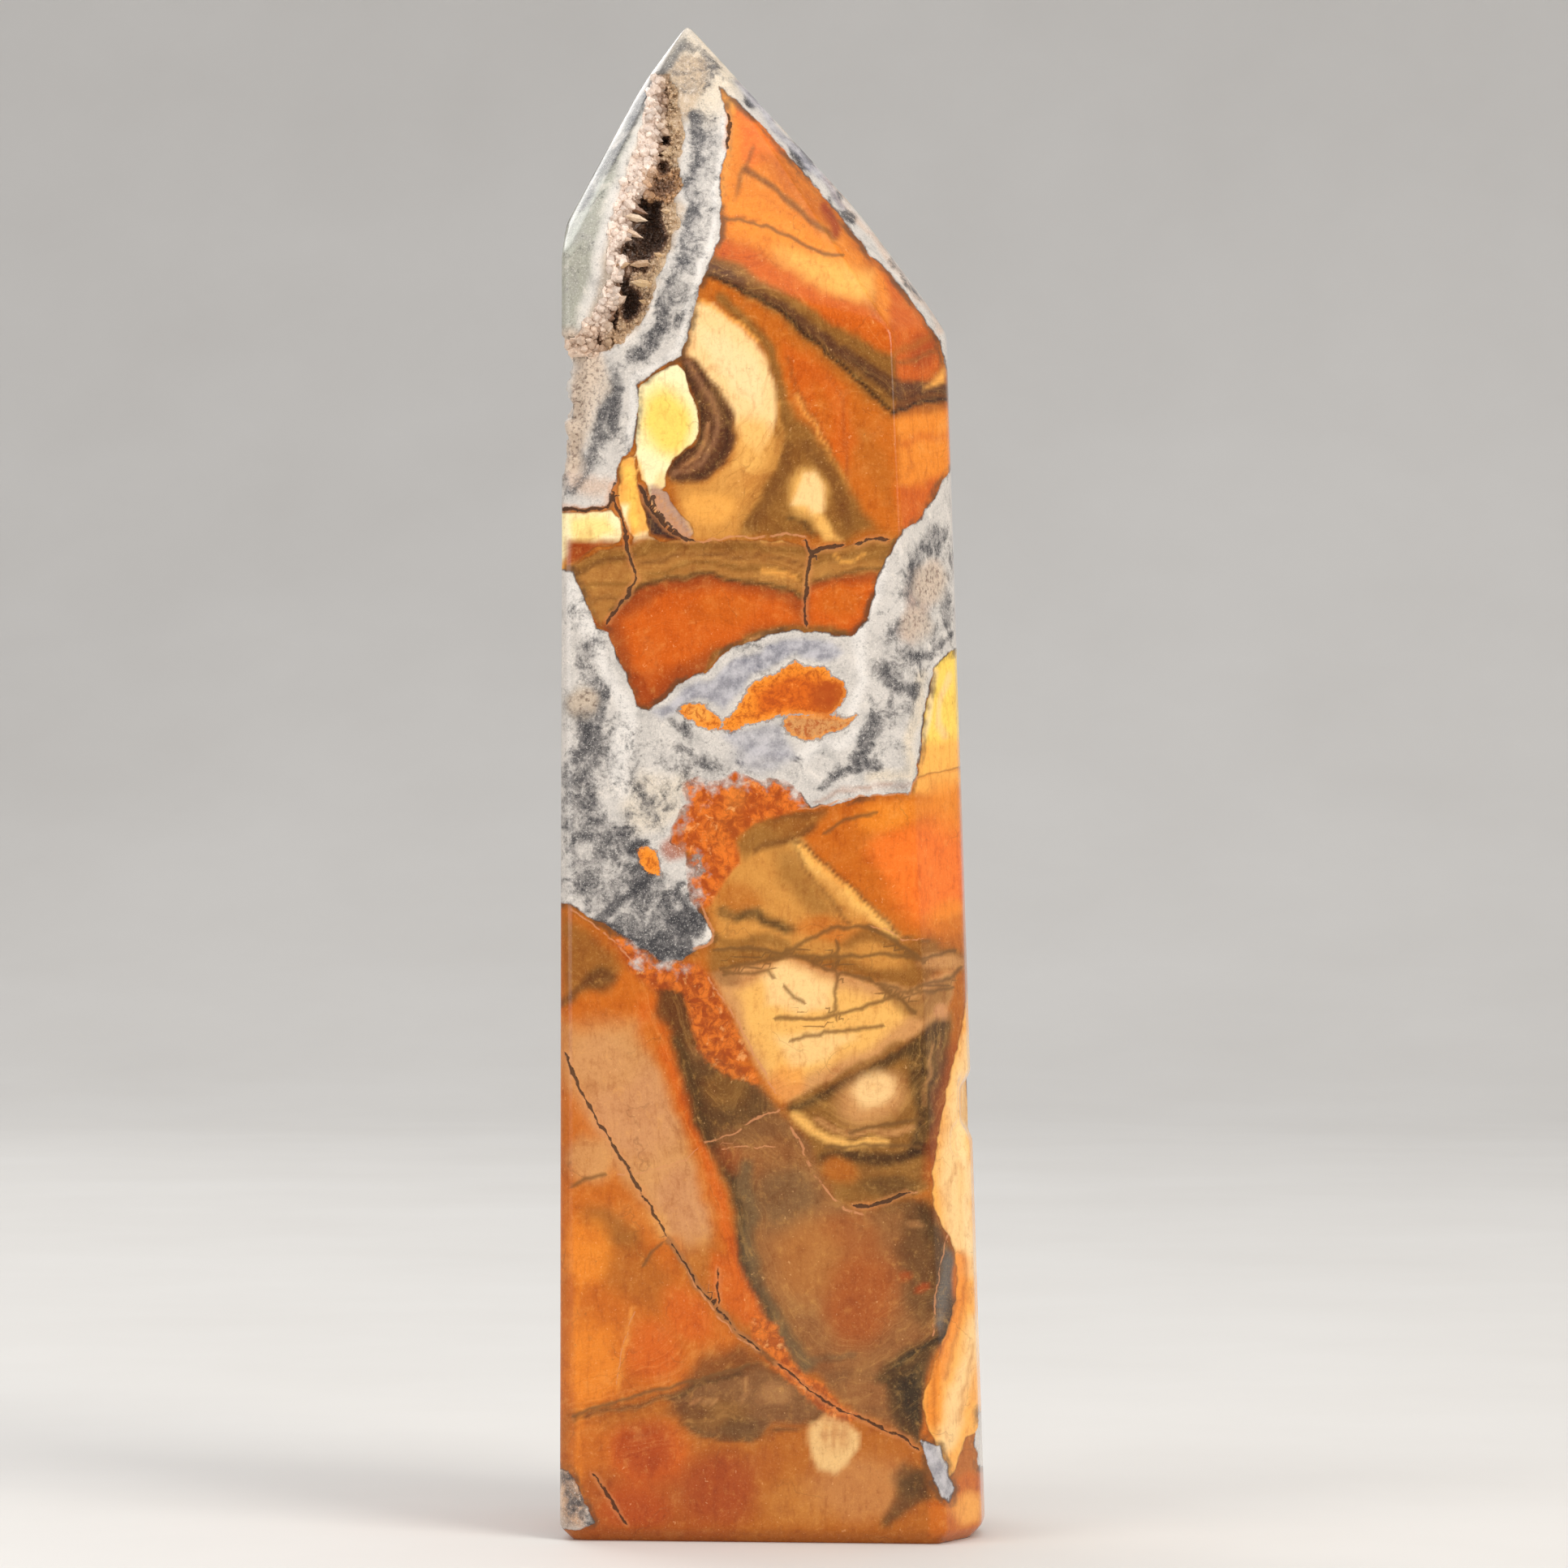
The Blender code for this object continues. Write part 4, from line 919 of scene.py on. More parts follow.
# Tone of the quartz, as shares of dark speckle, blue grey and sugary crust
TONE_MARKS = [
    patch(SPECKLED, 0.3, 20, [
        (692, 871), (803, 907), (860, 954), (803, 1050), (860, 1121), (803, 1179), (692, 1121),
    ]),
    streak(SPECKLED, 0.95, 7, [
        (855, 142), (861, 178), (856, 210), (846, 231), (855, 253), (849, 281), (846, 317), (831, 342),
        (814, 367), (817, 396), (803, 421), (792, 431),
    ]),
    streak(SPECKLED, 0.5, 17, [
        (868, 150), (866, 200), (862, 250), (858, 300), (844, 340), (828, 378), (810, 410), (780, 440),
    ]),
    streak(SPECKLED, 0.5, 15, [(722, 470), (745, 500), (738, 550), (712, 600)]),
    streak(SPECKLED, 0.45, 22, [(1146, 670), (1128, 740), (1150, 790), (1104, 820), (1110, 850)]),
    streak(SPECKLED, 0.4, 16, [(706, 1000), (716, 930), (730, 860), (722, 800)]),
    streak(SPECKLED, 0.7, 4, [(839, 56), (860, 58), (878, 78), (892, 96)]),
    streak(SPECKLED, 0.6, 5, [(831, 71), (799, 117), (767, 174), (749, 210)]),
    streak(SPECKLED, 0.9, 4, [(906, 101), (924, 121), (946, 146), (974, 178), (994, 201)]),
    streak(SPECKLED, 0.6, 4, [(1031, 242), (1049, 267)]),
    streak(SPECKLED, 0.8, 4, [(1098, 321), (1117, 349), (1131, 367)]),
    streak(SPECKLED, 0.95, 11, [(758, 466), (755, 498), (748, 530)]),
    streak(SPECKLED, 0.85, 7, [(737, 487), (743, 516), (728, 559), (721, 580)]),
    streak(SPECKLED, 0.9, 6, [(694, 573), (698, 591), (699, 609)]),
    streak(SPECKLED, 0.7, 6, [(828, 367), (810, 406), (778, 446)]),
    streak(SUGARY, 1.0, 13, [(703, 421), (728, 446), (714, 489), (706, 524), (703, 553), (705, 570)]),
    streak(SUGARY, 0.8, 9, [(731, 439), (739, 474), (724, 510), (714, 546)]),
    streak(SPECKLED, 0.9, 11, [
        (1156, 659), (1137, 684), (1124, 712), (1133, 737), (1117, 766), (1099, 787),
    ]),
    streak(SPECKLED, 0.8, 7, [(1171, 684), (1164, 723), (1167, 766)]),
    blob(SUGARY, 0.9, (1146, 719), (21, 29)),
    blob(SUGARY, 0.7, (1128, 769), (21, 25)),
    streak(SPECKLED, 1.0, 9, [(1080, 821), (1098, 841), (1121, 848)]),
    streak(SPECKLED, 0.9, 4, [(1117, 809), (1146, 805), (1174, 780)]),
    streak(SPECKLED, 0.9, 7, [(1078, 884), (1064, 912), (1053, 937)]),
    streak(SPECKLED, 0.8, 12, [(721, 805), (733, 844), (726, 887), (719, 930)]),
    blob(SUGARY, 0.8, (719, 866), (18, 21)),
    streak(SPECKLED, 0.95, 5, [(746, 851), (741, 887), (731, 916)]),
    streak(SPECKLED, 0.9, 11, [(721, 886), (728, 918), (721, 954), (728, 986), (739, 1007)]),
    streak(SPECKLED, 0.85, 9, [(706, 986), (735, 1014), (767, 1032)]),
    streak(SPECKLED, 0.95, 4, [(714, 1029), (749, 1032), (778, 1021)]),
    streak(SPECKLED, 0.85, 6, [(814, 877), (831, 889), (849, 904)]),
    streak(SPECKLED, 0.75, 8, [(839, 921), (860, 939), (878, 943)]),
    streak(SPECKLED, 0.6, 6, [(903, 904), (917, 918), (910, 943)]),
    streak(SPECKLED, 0.7, 6, [(967, 929), (985, 939)]),
    streak(SPECKLED, 1.0, 9, [(1081, 896), (1056, 932), (1078, 943)]),
    streak(SPECKLED, 0.85, 6, [(1014, 968), (1039, 954), (1060, 943)]),
    patch(SPECKLED, 0.75, 12, [
        (696, 1014), (781, 1029), (810, 1079), (853, 1086), (864, 1121), (871, 1157), (853, 1179),
        (803, 1179), (746, 1143), (699, 1107),
    ]),
    streak(BLACKENED, 1.0, 5, [(737, 1134), (767, 1109), (803, 1082)]),
    streak(BLACKENED, 0.8, 4, [(742, 1139), (778, 1157), (803, 1175)]),
    blob(BLACKENED, 1.0, (846, 1138), (27, 21), -20),
    blob(BLACKENED, 1.0, (814, 1168), (17, 18)),
    blob(BLACKENED, 0.8, (840, 1171), (18, 13)),
    streak(BLACKENED, 0.9, 4, [(780, 1050), (785, 1039), (794, 1038)]),
    patch(BLUISH, 1.0, 3, [
        (803, 878), (821, 870), (840, 853), (860, 839), (881, 835), (892, 823), (906, 810), (939, 801),
        (967, 790), (996, 785), (1024, 791), (1039, 805), (1021, 814), (1003, 814), (981, 807), (953, 818),
        (931, 828), (917, 851), (892, 875), (874, 862), (860, 859), (839, 870), (817, 887),
    ]),
    patch(BLUISH, 0.8, 6, [
        (889, 905), (931, 894), (960, 894), (971, 916), (981, 937), (931, 930), (910, 923),
    ]),
    blob(BLUISH, 0.7, (939, 932), (39, 21)),
    blob(BLACKENED, 0.9, (925, 123), (9, 14), -45),
    blob(BLACKENED, 1.0, (987, 194), (10, 22), -48),
    blob(BLACKENED, 0.8, (1032, 245), (8, 11), 50),
    blob(BLACKENED, 0.6, (1045, 264), (8, 14), -45),
    patch(SPECKLED, 0.5, 8, [(846, 50), (880, 80), (880, 110), (852, 130), (822, 96)]),
    patch(SPECKLED, 0.9, 6, [(690, 1812), (722, 1812), (736, 1880), (700, 1884)]),
    streak(BLUISH, 0.9, 4, [(906, 101), (931, 128), (967, 171), (1003, 210), (1039, 253)]),
    patch(BLUISH, 0.9, 6, [(1130, 1774), (1158, 1777), (1178, 1835), (1170, 1855), (1145, 1818)]),
]

# Colour of the quartz
QUARTZ_MARKS = [
    streak(TAN, 0.8, 3, [(953, 137), (1000, 187), (1052, 249)]),
    patch(TAN, 0.7, 8, [(690, 1806), (712, 1812), (726, 1860), (716, 1884), (690, 1884)]),
    blob(WARM_MILK, 0.9, (864, 89), (54, 68)),
    patch(WARM_TAN, 0.7, 6, [
        (839, 64), (871, 71), (874, 103), (860, 131), (839, 153), (839, 196), (831, 239), (846, 260),
        (831, 306), (810, 331), (799, 385), (778, 414), (746, 431), (721, 421), (742, 331), (767, 224),
        (803, 117),
    ]),
    patch(GREY_GREEN, 0.9, 6, [
        (667, 331), (681, 289), (714, 224), (778, 142), (814, 96), (810, 117), (789, 160), (756, 239),
        (735, 317), (721, 389), (681, 431), (667, 431),
    ]),
    streak(PALE_GREEN, 0.8, 7, [(698, 306), (714, 274), (742, 224)]),
    streak(DIM_GREY, 0.85, 6, [(840, 51), (814, 92), (789, 131), (764, 171), (739, 214), (717, 253)]),
    streak(SNOW, 0.6, 6, [(803, 128), (778, 181), (756, 239), (739, 303), (728, 353), (717, 396)]),
    streak(SNOW, 0.85, 3.5, [
        (893, 146), (891, 181), (884, 210), (879, 239), (880, 274), (875, 303), (864, 324), (857, 353),
        (846, 381), (843, 403), (832, 431), (803, 453), (778, 471), (780, 510), (774, 546),
    ]),
    streak(PINK_WHITE, 0.9, 12, [
        (703, 421), (728, 446), (714, 489), (706, 524), (703, 553), (710, 596), (742, 599),
    ]),
    streak(DIM_GREY, 0.7, 8, [(755, 469), (753, 498), (746, 534)]),
    streak(SNOW, 0.8, 8, [(703, 726), (731, 791), (756, 844), (778, 894), (767, 937)]),
    streak(SNOW, 0.8, 10, [(767, 893), (756, 936), (767, 971), (796, 986)]),
    patch(WARM_MILK, 0.6, 10, [(789, 950), (846, 954), (839, 1000), (817, 1021), (781, 1029), (767, 993)]),
    streak(SNOW, 0.9, 7, [(1085, 701), (1071, 748), (1056, 791), (1064, 837), (1053, 873)]),
    streak(WARM_MILK, 0.8, 7, [(1135, 832), (1131, 871), (1121, 914), (1121, 954), (1074, 957)]),
    streak(SNOW, 0.8, 8, [(989, 932), (1017, 918), (1053, 907)]),
    patch(PINK_GREY, 0.7, 8, [
        (1124, 701), (1153, 694), (1160, 723), (1142, 759), (1124, 794), (1106, 780), (1117, 737),
    ]),
    blob(GREEN_BROWN, 0.8, (719, 866), (20, 25)),
    blob(RUST, 0.75, (831, 1046), (21, 16)),
    blob(AMBER, 0.5, (846, 1036), (18, 21)),
    streak(PINK_GREY, 0.7, 3, [(1003, 986), (1039, 975), (1089, 968), (1121, 968)]),
    streak(PINK_WHITE, 0.8, 4, [(1014, 221), (1053, 267), (1085, 306), (1121, 353), (1160, 406)]),
]

# Rough rust jasper beside the quartz
CRUMBLY = [
    [
        (839, 964), (860, 960), (881, 965), (903, 954), (917, 957), (931, 962), (967, 964), (981, 975),
        (992, 995), (967, 1000), (931, 1014), (903, 1032), (910, 1064), (892, 1086), (874, 1114),
        (860, 1121), (849, 1096), (846, 1071), (853, 1050), (839, 1046), (828, 1029), (839, 1000),
        (851, 989), (842, 979),
    ],
    [
        (753, 1152), (781, 1161), (810, 1186), (860, 1189), (881, 1218), (903, 1261), (924, 1300),
        (910, 1314), (860, 1293), (842, 1221), (803, 1218), (778, 1196),
    ],
    [(860, 1293), (903, 1307), (931, 1318), (935, 1336), (906, 1329), (874, 1311)],
    [
        (931, 1618), (956, 1632), (974, 1675), (1003, 1707), (996, 1721), (964, 1696), (935, 1668),
        (924, 1643),
    ],
    [(978, 1685), (1015, 1707), (1034, 1729), (1059, 1744), (1048, 1755), (1015, 1740), (986, 1715)],
]

# The crust's rim, and each hollow in it with its depth
POCKET_RIM = [
    (808, 90), (826, 92), (835, 110), (839, 140), (844, 169), (841, 187), (836, 202), (841, 218),
    (838, 236), (832, 250), (837, 276), (830, 294), (825, 311), (816, 328), (809, 345), (806, 362),
    (801, 379), (792, 393), (782, 406), (767, 420), (753, 432), (738, 439), (716, 440), (700, 436),
    (700, 420), (714, 409), (721, 397), (729, 385), (738, 371), (746, 354), (749, 337), (749, 318),
    (751, 303), (748, 286), (754, 268), (761, 247), (764, 230), (769, 216), (776, 196), (785, 177),
    (786, 160), (791, 148), (796, 128), (800, 104),
]
HOLLOWS = [
    (1.2, [(816, 100), (825, 109), (823, 126), (826, 137), (815, 141), (806, 126), (808, 109)]),
    (3.7, [
        (820, 161), (828, 168), (826, 179), (818, 184), (816, 193), (810, 196), (804, 201), (811, 190),
        (812, 182), (806, 178), (813, 168),
    ]),
    (2.7, [(808, 196), (824, 197), (827, 212), (815, 220), (806, 210)]),
    (1.5, [(800, 218), (832, 216), (834, 236), (817, 246), (798, 242)]),
    (4.8, [
        (789, 238), (801, 247), (819, 246), (816, 264), (820, 281), (824, 293), (816, 311), (802, 320),
        (798, 327), (784, 326), (769, 322), (760, 311), (761, 301), (772, 296), (776, 285), (774, 268),
        (780, 250),
    ]),
    (2.0, [(762, 322), (800, 324), (799, 338), (764, 338)]),
    (4.1, [
        (769, 334), (778, 341), (777, 349), (788, 358), (794, 367), (792, 380), (785, 391), (773, 399),
        (765, 393), (763, 378), (765, 370), (759, 361), (758, 351), (763, 342),
    ]),
    (3.4, [(748, 380), (762, 379), (763, 391), (759, 407), (751, 401), (748, 392)]),
    (1.6, [(726, 415), (738, 413), (751, 419), (744, 430), (731, 427)]),
]
AMBER_PART = [(796, 214), (838, 212), (840, 242), (817, 250), (794, 246)]

FRAGMENTS = [PALE_PATCH, YELLOW_STRIP, PINK_PIECE, PINK_LUMP, LEFT_CREAM, CLAST, RIGHT_YELLOW, RIGHT_CREAM]
VEINS = [VEIN_TOP, VEIN_RIGHT_TIP, VEIN_MIDDLE, VEIN_FOOT_LEFT, VEIN_FOOT_RIGHT, VEIN_CORNER]
ISLANDS = [ISLAND_BIG, ISLAND_SMALL, ISLAND_TAN, ISLAND_CRUMB, ISLAND_SLIVER]
GROUND_MARKS = UPPER_GROUND + CURL_EXTRA + MIDDLE_GROUND + RUST_EXTRA
GROUND_MARKS += LOWER_GROUND + FOOT_GROUND + LOWER_LAYER
CRUMBLY_SOFTNESS = 6.0

# Lines that the fine bands follow, how far they reach, and what is left of the bands away from them
BAND_GUIDES = [
    [(868, 325), (960, 385), (1010, 420), (1060, 462), (1103, 500), (1172, 480)],
    [(1010, 340), (990, 420), (968, 500), (930, 580), (880, 640), (820, 640)],
    [(700, 715), (800, 690), (900, 690), (980, 715), (1100, 690)],
    [(790, 1190), (830, 1300), (868, 1420), (900, 1540), (950, 1650)],
    [(980, 1365), (1040, 1395), (1110, 1400), (1160, 1330), (1176, 1240)],
    [(700, 1745), (800, 1722), (880, 1690), (960, 1690), (1080, 1700), (1160, 1640)],
]
GUIDE_REACH = 62.0
UNGUIDED_WEIGHT = 0.02
UNGUIDED_SLANT = (0.6, 0.8)
FAINTEST_BAND = 0.25

# Cracks and seams: how far beside a line, in pixels, its width is known, and the largest value kept
LINE_HALO = 9.0
FALL_BESIDE = 3.0
LINE_LIMIT = 60.0

# Waves that make the painted marks ragged: reach and size in pixels, and seeds across and down
SOFT_WAVES = [(3.0, 70.0, 21, 22), (1.2, 24.0, 23, 24)]
CRISP_WAVES = [(1.6, 34.0, 31, 33), (0.8, 14.0, 32, 34)]

# The pattern behind the seen faces: depths in millimetres, the rest in pixels
SEEN_DEPTH = 0.6
BENT_DEPTH = 48.0
SUGARY_DEPTH = 3.0
PATTERN_MIDDLE = 930.0
NARROWING = 0.42
DRIFT_ACROSS, SIZE_ACROSS, SEED_ACROSS = 70.0, 700.0, 3
DRIFT_DOWN, SIZE_DOWN, SEED_DOWN = 170.0, 620.0, 4
SHIFT_DOWN = 160.0

# Damage on the left edge: its width, for each notch the picture height, half height and depth, and
# the knobs in it, as a share of that depth and a size in millimetres
ROUGH_WIDTH = 3.4 * MM
ROUGH_SOFTNESS = 0.9 * MM
ROUGH_NOTCHES = [
    (424, 9, 0.7 * MM), (449, 18, 1.9 * MM), (478, 14, 1.1 * MM), (505, 13, 1.6 * MM), (527, 9, 0.7 * MM),
    (548, 14, 1.5 * MM), (573, 12, 0.8 * MM),
]
NOTCH_SOFTNESS = 2.5
KNOB_LEVEL = 0.9
KNOBS = [(0.6, 2.4), (0.45, 0.9)]
LOWEST_KNOB = 0.35

# Damage on the right edge: top, bottom and depth of the chip, where it starts across the picture and
# how far back it goes, then middle, half sizes and depth of the vug below it
RIGHT_CHIP = (1330, 1392, 1.5 * MM)
CHIP_START = 1184.0
CHIP_BACK = 4.0 * MM
CHIP_SOFT_ACROSS, CHIP_SOFT_DOWN = 5.0, 14.0
RIGHT_VUG = ((1184, 1404), (10, 18), 1.2 * MM)

# The stone's mesh: steps round it where the camera looks and elsewhere, steps up it, and its rows
# next to the foot, in millimetres, and next to the point
FINE_STEP = 0.54 * MM
COARSE_STEP = 1.7 * MM
ROW_STEP = 0.57 * MM
FOOT_ROWS = (0.0, 0.25, 0.8, 1.4, 1.9, 2.4)
BODY_START = 3.0 * MM
BODY_GAP = 0.4 * MM
LAST_GAP = 0.12 * MM
TRIAL_TURNS = 7201
TRIAL_SHARE = 0.4
LEAN_START = 0.185
SEEN_SLOPE = 0.02
SURFACE_ROUNDS = 8
LEAST_SLOPE = 0.2
LEAST_RADIUS = 0.01 * MM
TOP_SEARCH = 5.0 * MM
TOP_ROUNDS = 40

# The pocket: waves of its rim in pixels, ledge below the polish, edges of the hollows, and how far
# the stone itself sinks behind the crust
RIM_WAVE, RIM_SIZE, RIM_SEED = 3.0, 26.0, 41
LEDGE_DEPTH = 0.25 * MM
LEDGE_SOFTNESS = 0.4 * MM
HOLLOW_EDGE = 0.6 * MM
HOLLOW_START = 0.1 * MM
HOLLOW_LIP = 0.7 * MM
LIP_WIDTH = 1.0 * MM
BACKING_MARGIN = 1.1 * MM
BACKING_DEPTH = 0.9 * MM
BACKING_START = 0.35 * MM
BACKING_SOFTNESS = 0.3 * MM

COLOUR_FIELDS = ("ground", "fragment", "island", "quartz", "tint")


def blended(first, second, share):
    """A mix of two sets of colours, by the share of the second at each place."""
    share = share[:, None]
    return first * (1.0 - share) + second * share


def paint(x, y, base, marks):
    """Marks laid over a base colour, one after the other."""
    colours = np.tile(base, (len(x), 1))
    for colour, strength, (low, high), share in marks:
        near = np.flatnonzero((x > low[0]) & (x < high[0]) & (y > low[1]) & (y < high[1]))
        if len(near):
            colours[near] = blended(colours[near], colour, strength * share(x[near], y[near]))
    return colours


def wander(x, y, size, seed):
    """Smooth, seeded wandering between about -1 and 1, with bumps of the given size."""
    chance = np.random.default_rng(seed)
    total = np.zeros(x.shape)
    for _ in range(5):
        angle = chance.uniform(0.0, 2.0 * math.pi)
        rate = 2.0 * math.pi / (size * chance.uniform(0.7, 1.6))
        phase = chance.uniform(0.0, 2.0 * math.pi)
        bend = chance.uniform(0.0, 2.0 * math.pi)
        run = x * math.cos(angle) + y * math.sin(angle)
        cross = -x * math.sin(angle) + y * math.cos(angle)
        total += np.sin(run * rate + phase + 1.5 * np.sin(cross * rate * 0.7 + bend))
    return total / 3.2


def shaken(x, y, waves):
    """Places moved about by several waves."""
    moved_x, moved_y = x, y
    for reach, size, seed_across, seed_down in waves:
        moved_x = moved_x + reach * wander(x, y, size, seed_across)
        moved_y = moved_y + reach * wander(x, y, size, seed_down)
    return moved_x, moved_y


def pattern_place(points):
    """Where each point of the stone reads the pattern: its own place where the camera sees it, and
    for the far sides the same bodies and veins followed through the stone, bent as they go."""
    closing = unit(camera_place() - points) @ NORMALS.T
    room = np.maximum(REACHES - points @ NORMALS.T, 0.0)
    run = np.where(closing > 1e-3, room / np.maximum(closing, 1e-3), FAR).min(axis=1)
    behind = np.maximum(run / MM - SEEN_DEPTH, 0.0)
    x, y = picture_place(points)
    bend = np.minimum(behind / BENT_DEPTH, 1.0)
    drift = DRIFT_ACROSS * wander(x, y, SIZE_ACROSS, SEED_ACROSS) * bend
    x = x - NARROWING * (x - PATTERN_MIDDLE) * bend + drift
    y = y + DRIFT_DOWN * bend * wander(x, y, SIZE_DOWN, SEED_DOWN) + SHIFT_DOWN * bend
    return x, y, behind


def nearest_reach(x, y, outlines):
    """Distance in pixels inside whichever outline holds a place most deeply."""
    reach = np.full(x.shape, -FAR)
    for outline in outlines:
        reach = np.maximum(reach, outline_reach(x, y, outline))
    return reach


def line_field(x, y, lines):
    """Signed distance from the nearest line, and the half width left there, negative away from it."""
    nearest = np.full(x.shape, 1e3)
    offset = np.full(x.shape, 1e3)
    room = np.full(x.shape, -1e3)
    for half_width, points in lines:
        corners = np.array(points, float)
        last = len(corners) - 2
        for index, (start, end) in enumerate(zip(corners[:-1], corners[1:])):
            (ax, ay), (dx, dy) = start, end - start
            length = math.hypot(dx, dy)
            share, distance = beside(x, y, start, end)
            side = np.where((x - ax) * dy - (y - ay) * dx > 0.0, 1.0, -1.0)
            past = np.zeros(x.shape)
            if index == 0:
                past = np.maximum(past, -share * length)
            if index == last:
                past = np.maximum(past, (share - 1.0) * length)
            left = half_width - past - FALL_BESIDE * np.maximum(distance - LINE_HALO, 0.0)
            closer = distance < nearest
            nearest = np.where(closer, distance, nearest)
            offset = np.where(closer, side * distance, offset)
            room = np.where(closer, left, room)
    return np.clip(offset, -LINE_LIMIT, LINE_LIMIT), np.clip(room, -LINE_LIMIT, LINE_LIMIT)


def band_field(x, y):
    """Distance across the nearest guide line, eased from one guide to the next, and its strength."""
    total = np.full(x.shape, UNGUIDED_WEIGHT)
    phase = UNGUIDED_WEIGHT * (UNGUIDED_SLANT[0] * x + UNGUIDED_SLANT[1] * y)
    strength = np.zeros(x.shape)
    for points in BAND_GUIDES:
        offset, _ = line_field(x, y, [(1.0, points)])
        distance = line_distance(x, y, points)
        weight = np.exp(-(distance / GUIDE_REACH) ** 2)
        phase += weight * np.where(offset > 0.0, distance, -distance)
        total += weight
        strength = np.maximum(strength, weight)
    return phase / total, np.clip(FAINTEST_BAND + strength, 0.0, 1.0)


def pattern_fields(points):
    """Every field that the stone's material reads, for points on the stone."""
    x, y, behind = pattern_place(points)
    soft = shaken(x, y, SOFT_WAVES)
    crisp = shaken(x, y, CRISP_WAVES)
    tone = paint(*soft, np.zeros(3), TONE_MARKS)
    tone[:, 2] *= behind < SUGARY_DEPTH
    phase, strength = band_field(*soft)
    reach = [nearest_reach(*crisp, outlines) for outlines in (FRAGMENTS, VEINS, ISLANDS)]
    crumbs = soft_step(nearest_reach(*crisp, CRUMBLY), CRUMBLY_SOFTNESS)
    pixel_mm = PIXEL / MM
    fields = {
        "ground": paint(*soft, AMBER, GROUND_MARKS),
        "fragment": paint(*soft, HONEY, FRAGMENT_MARKS),
        "island": paint(*soft, BRIGHT_ORANGE, ISLAND_MARKS),
        "quartz": paint(*soft, MILK, QUARTZ_MARKS),
        "reach": np.stack(reach, axis=1) * pixel_mm,
        "tone": tone,
        "bands": np.stack([phase * pixel_mm, strength, crumbs], axis=1),
    }
    for name, lines in (("crack", DARK_CRACKS), ("seam", PALE_SEAMS), ("thread", OLIVE_LINES)):
        offset, room = line_field(*crisp, lines)
        fields[name] = np.stack([offset, room, np.zeros(x.shape)], axis=1) * pixel_mm
    return fields


def level_ways(turns):
    """Level directions out from the axis, turned from the front."""
    return np.stack([np.sin(turns), -np.cos(turns), np.zeros_like(turns)], axis=1)


def first_wall(starts, outward):
    """Distance from places inside the stone to the first ground face."""
    closing = outward @ NORMALS.T
    room = REACHES - starts @ NORMALS.T
    return np.where(closing > 1e-6, room / np.maximum(closing, 1e-6), FAR).min(axis=1)


def stone_columns():
    """Directions round the tower, close together where the camera looks and wider behind."""
    turns = np.linspace(0.0, 2.0 * math.pi, TRIAL_TURNS)
    outward = level_ways(turns)
    middle = UP * TRIAL_SHARE * HEIGHT
    radius = first_wall(np.tile(middle, (len(turns), 1)), outward)
    places = middle + outward * radius[:, None]
    run = np.linalg.norm(np.diff(places, axis=0), axis=1)
    _, normal = stone_distance(places)
    _, back = camera_axes()
    step = np.where(normal[:-1] @ back > SEEN_SLOPE, FINE_STEP, COARSE_STEP)
    share = np.concatenate([[0.0], np.cumsum(run / step)])
    count = int(round(share[-1]))
    return np.interp(np.arange(count) * share[-1] / count, share, turns)


def stone_surface(heights, turns):
    """Points and normals of the rounded faceted surface, row by row."""
    lean = np.clip((heights - LEAN_START) / (APEX[2] - LEAN_START), 0.0, 1.0)
    middles = np.stack([APEX[0] * lean, APEX[1] * lean, heights], axis=1)
    starts = np.repeat(middles, len(turns), axis=0)
    ways = np.tile(level_ways(turns), (len(heights), 1))
    radius = first_wall(starts, ways)
    for _ in range(SURFACE_ROUNDS):
        beyond, slope = stone_distance(starts + ways * radius[:, None])
        radius = radius - beyond / np.maximum((slope * ways).sum(axis=1), LEAST_SLOPE)
    points = starts + ways * np.maximum(radius, LEAST_RADIUS)[:, None]
    _, slope = stone_distance(points)
    return points, unit(slope)


def solve_top():
    """Height at which the rounded point closes."""
    low, high = APEX[2] - TOP_SEARCH, APEX[2]
    for _ in range(TOP_ROUNDS):
        middle = (low + high) / 2.0
        beyond, _ = stone_distance(np.array([[APEX[0], APEX[1], middle]]))
        low, high = (middle, high) if beyond[0] < 0.0 else (low, middle)
    return low


def knobbly(place, layers, level=0.0):
    """Noise of several strengths and sizes at one place, added to a level."""
    for share, size in layers:
        level += share * noise.noise(place / size)
    return level


def left_damage(points):
    """Depth of the knobbly notches down the left edge, shallower towards the back."""
    _, height_seen = picture_place(points)
    fading = np.clip(1.7 - (points[:, 1] - CAD_LOW[1]) / DEPTH, 0.4, 1.0)
    reach = soft_step(ROUGH_WIDTH - (points[:, 0] - CAD_LOW[0]), ROUGH_SOFTNESS) * fading
    sink = np.zeros(len(points))
    for height, half, deep in ROUGH_NOTCHES:
        notch = soft_step(half - np.abs(height_seen - height), NOTCH_SOFTNESS)
        sink = np.maximum(sink, deep * notch * reach)
    for index in np.flatnonzero(sink > 0.02 * MM):
        knobs = knobbly(Vector(points[index]) / MM, KNOBS, KNOB_LEVEL)
        sink[index] *= max(knobs, LOWEST_KNOB)
    return sink


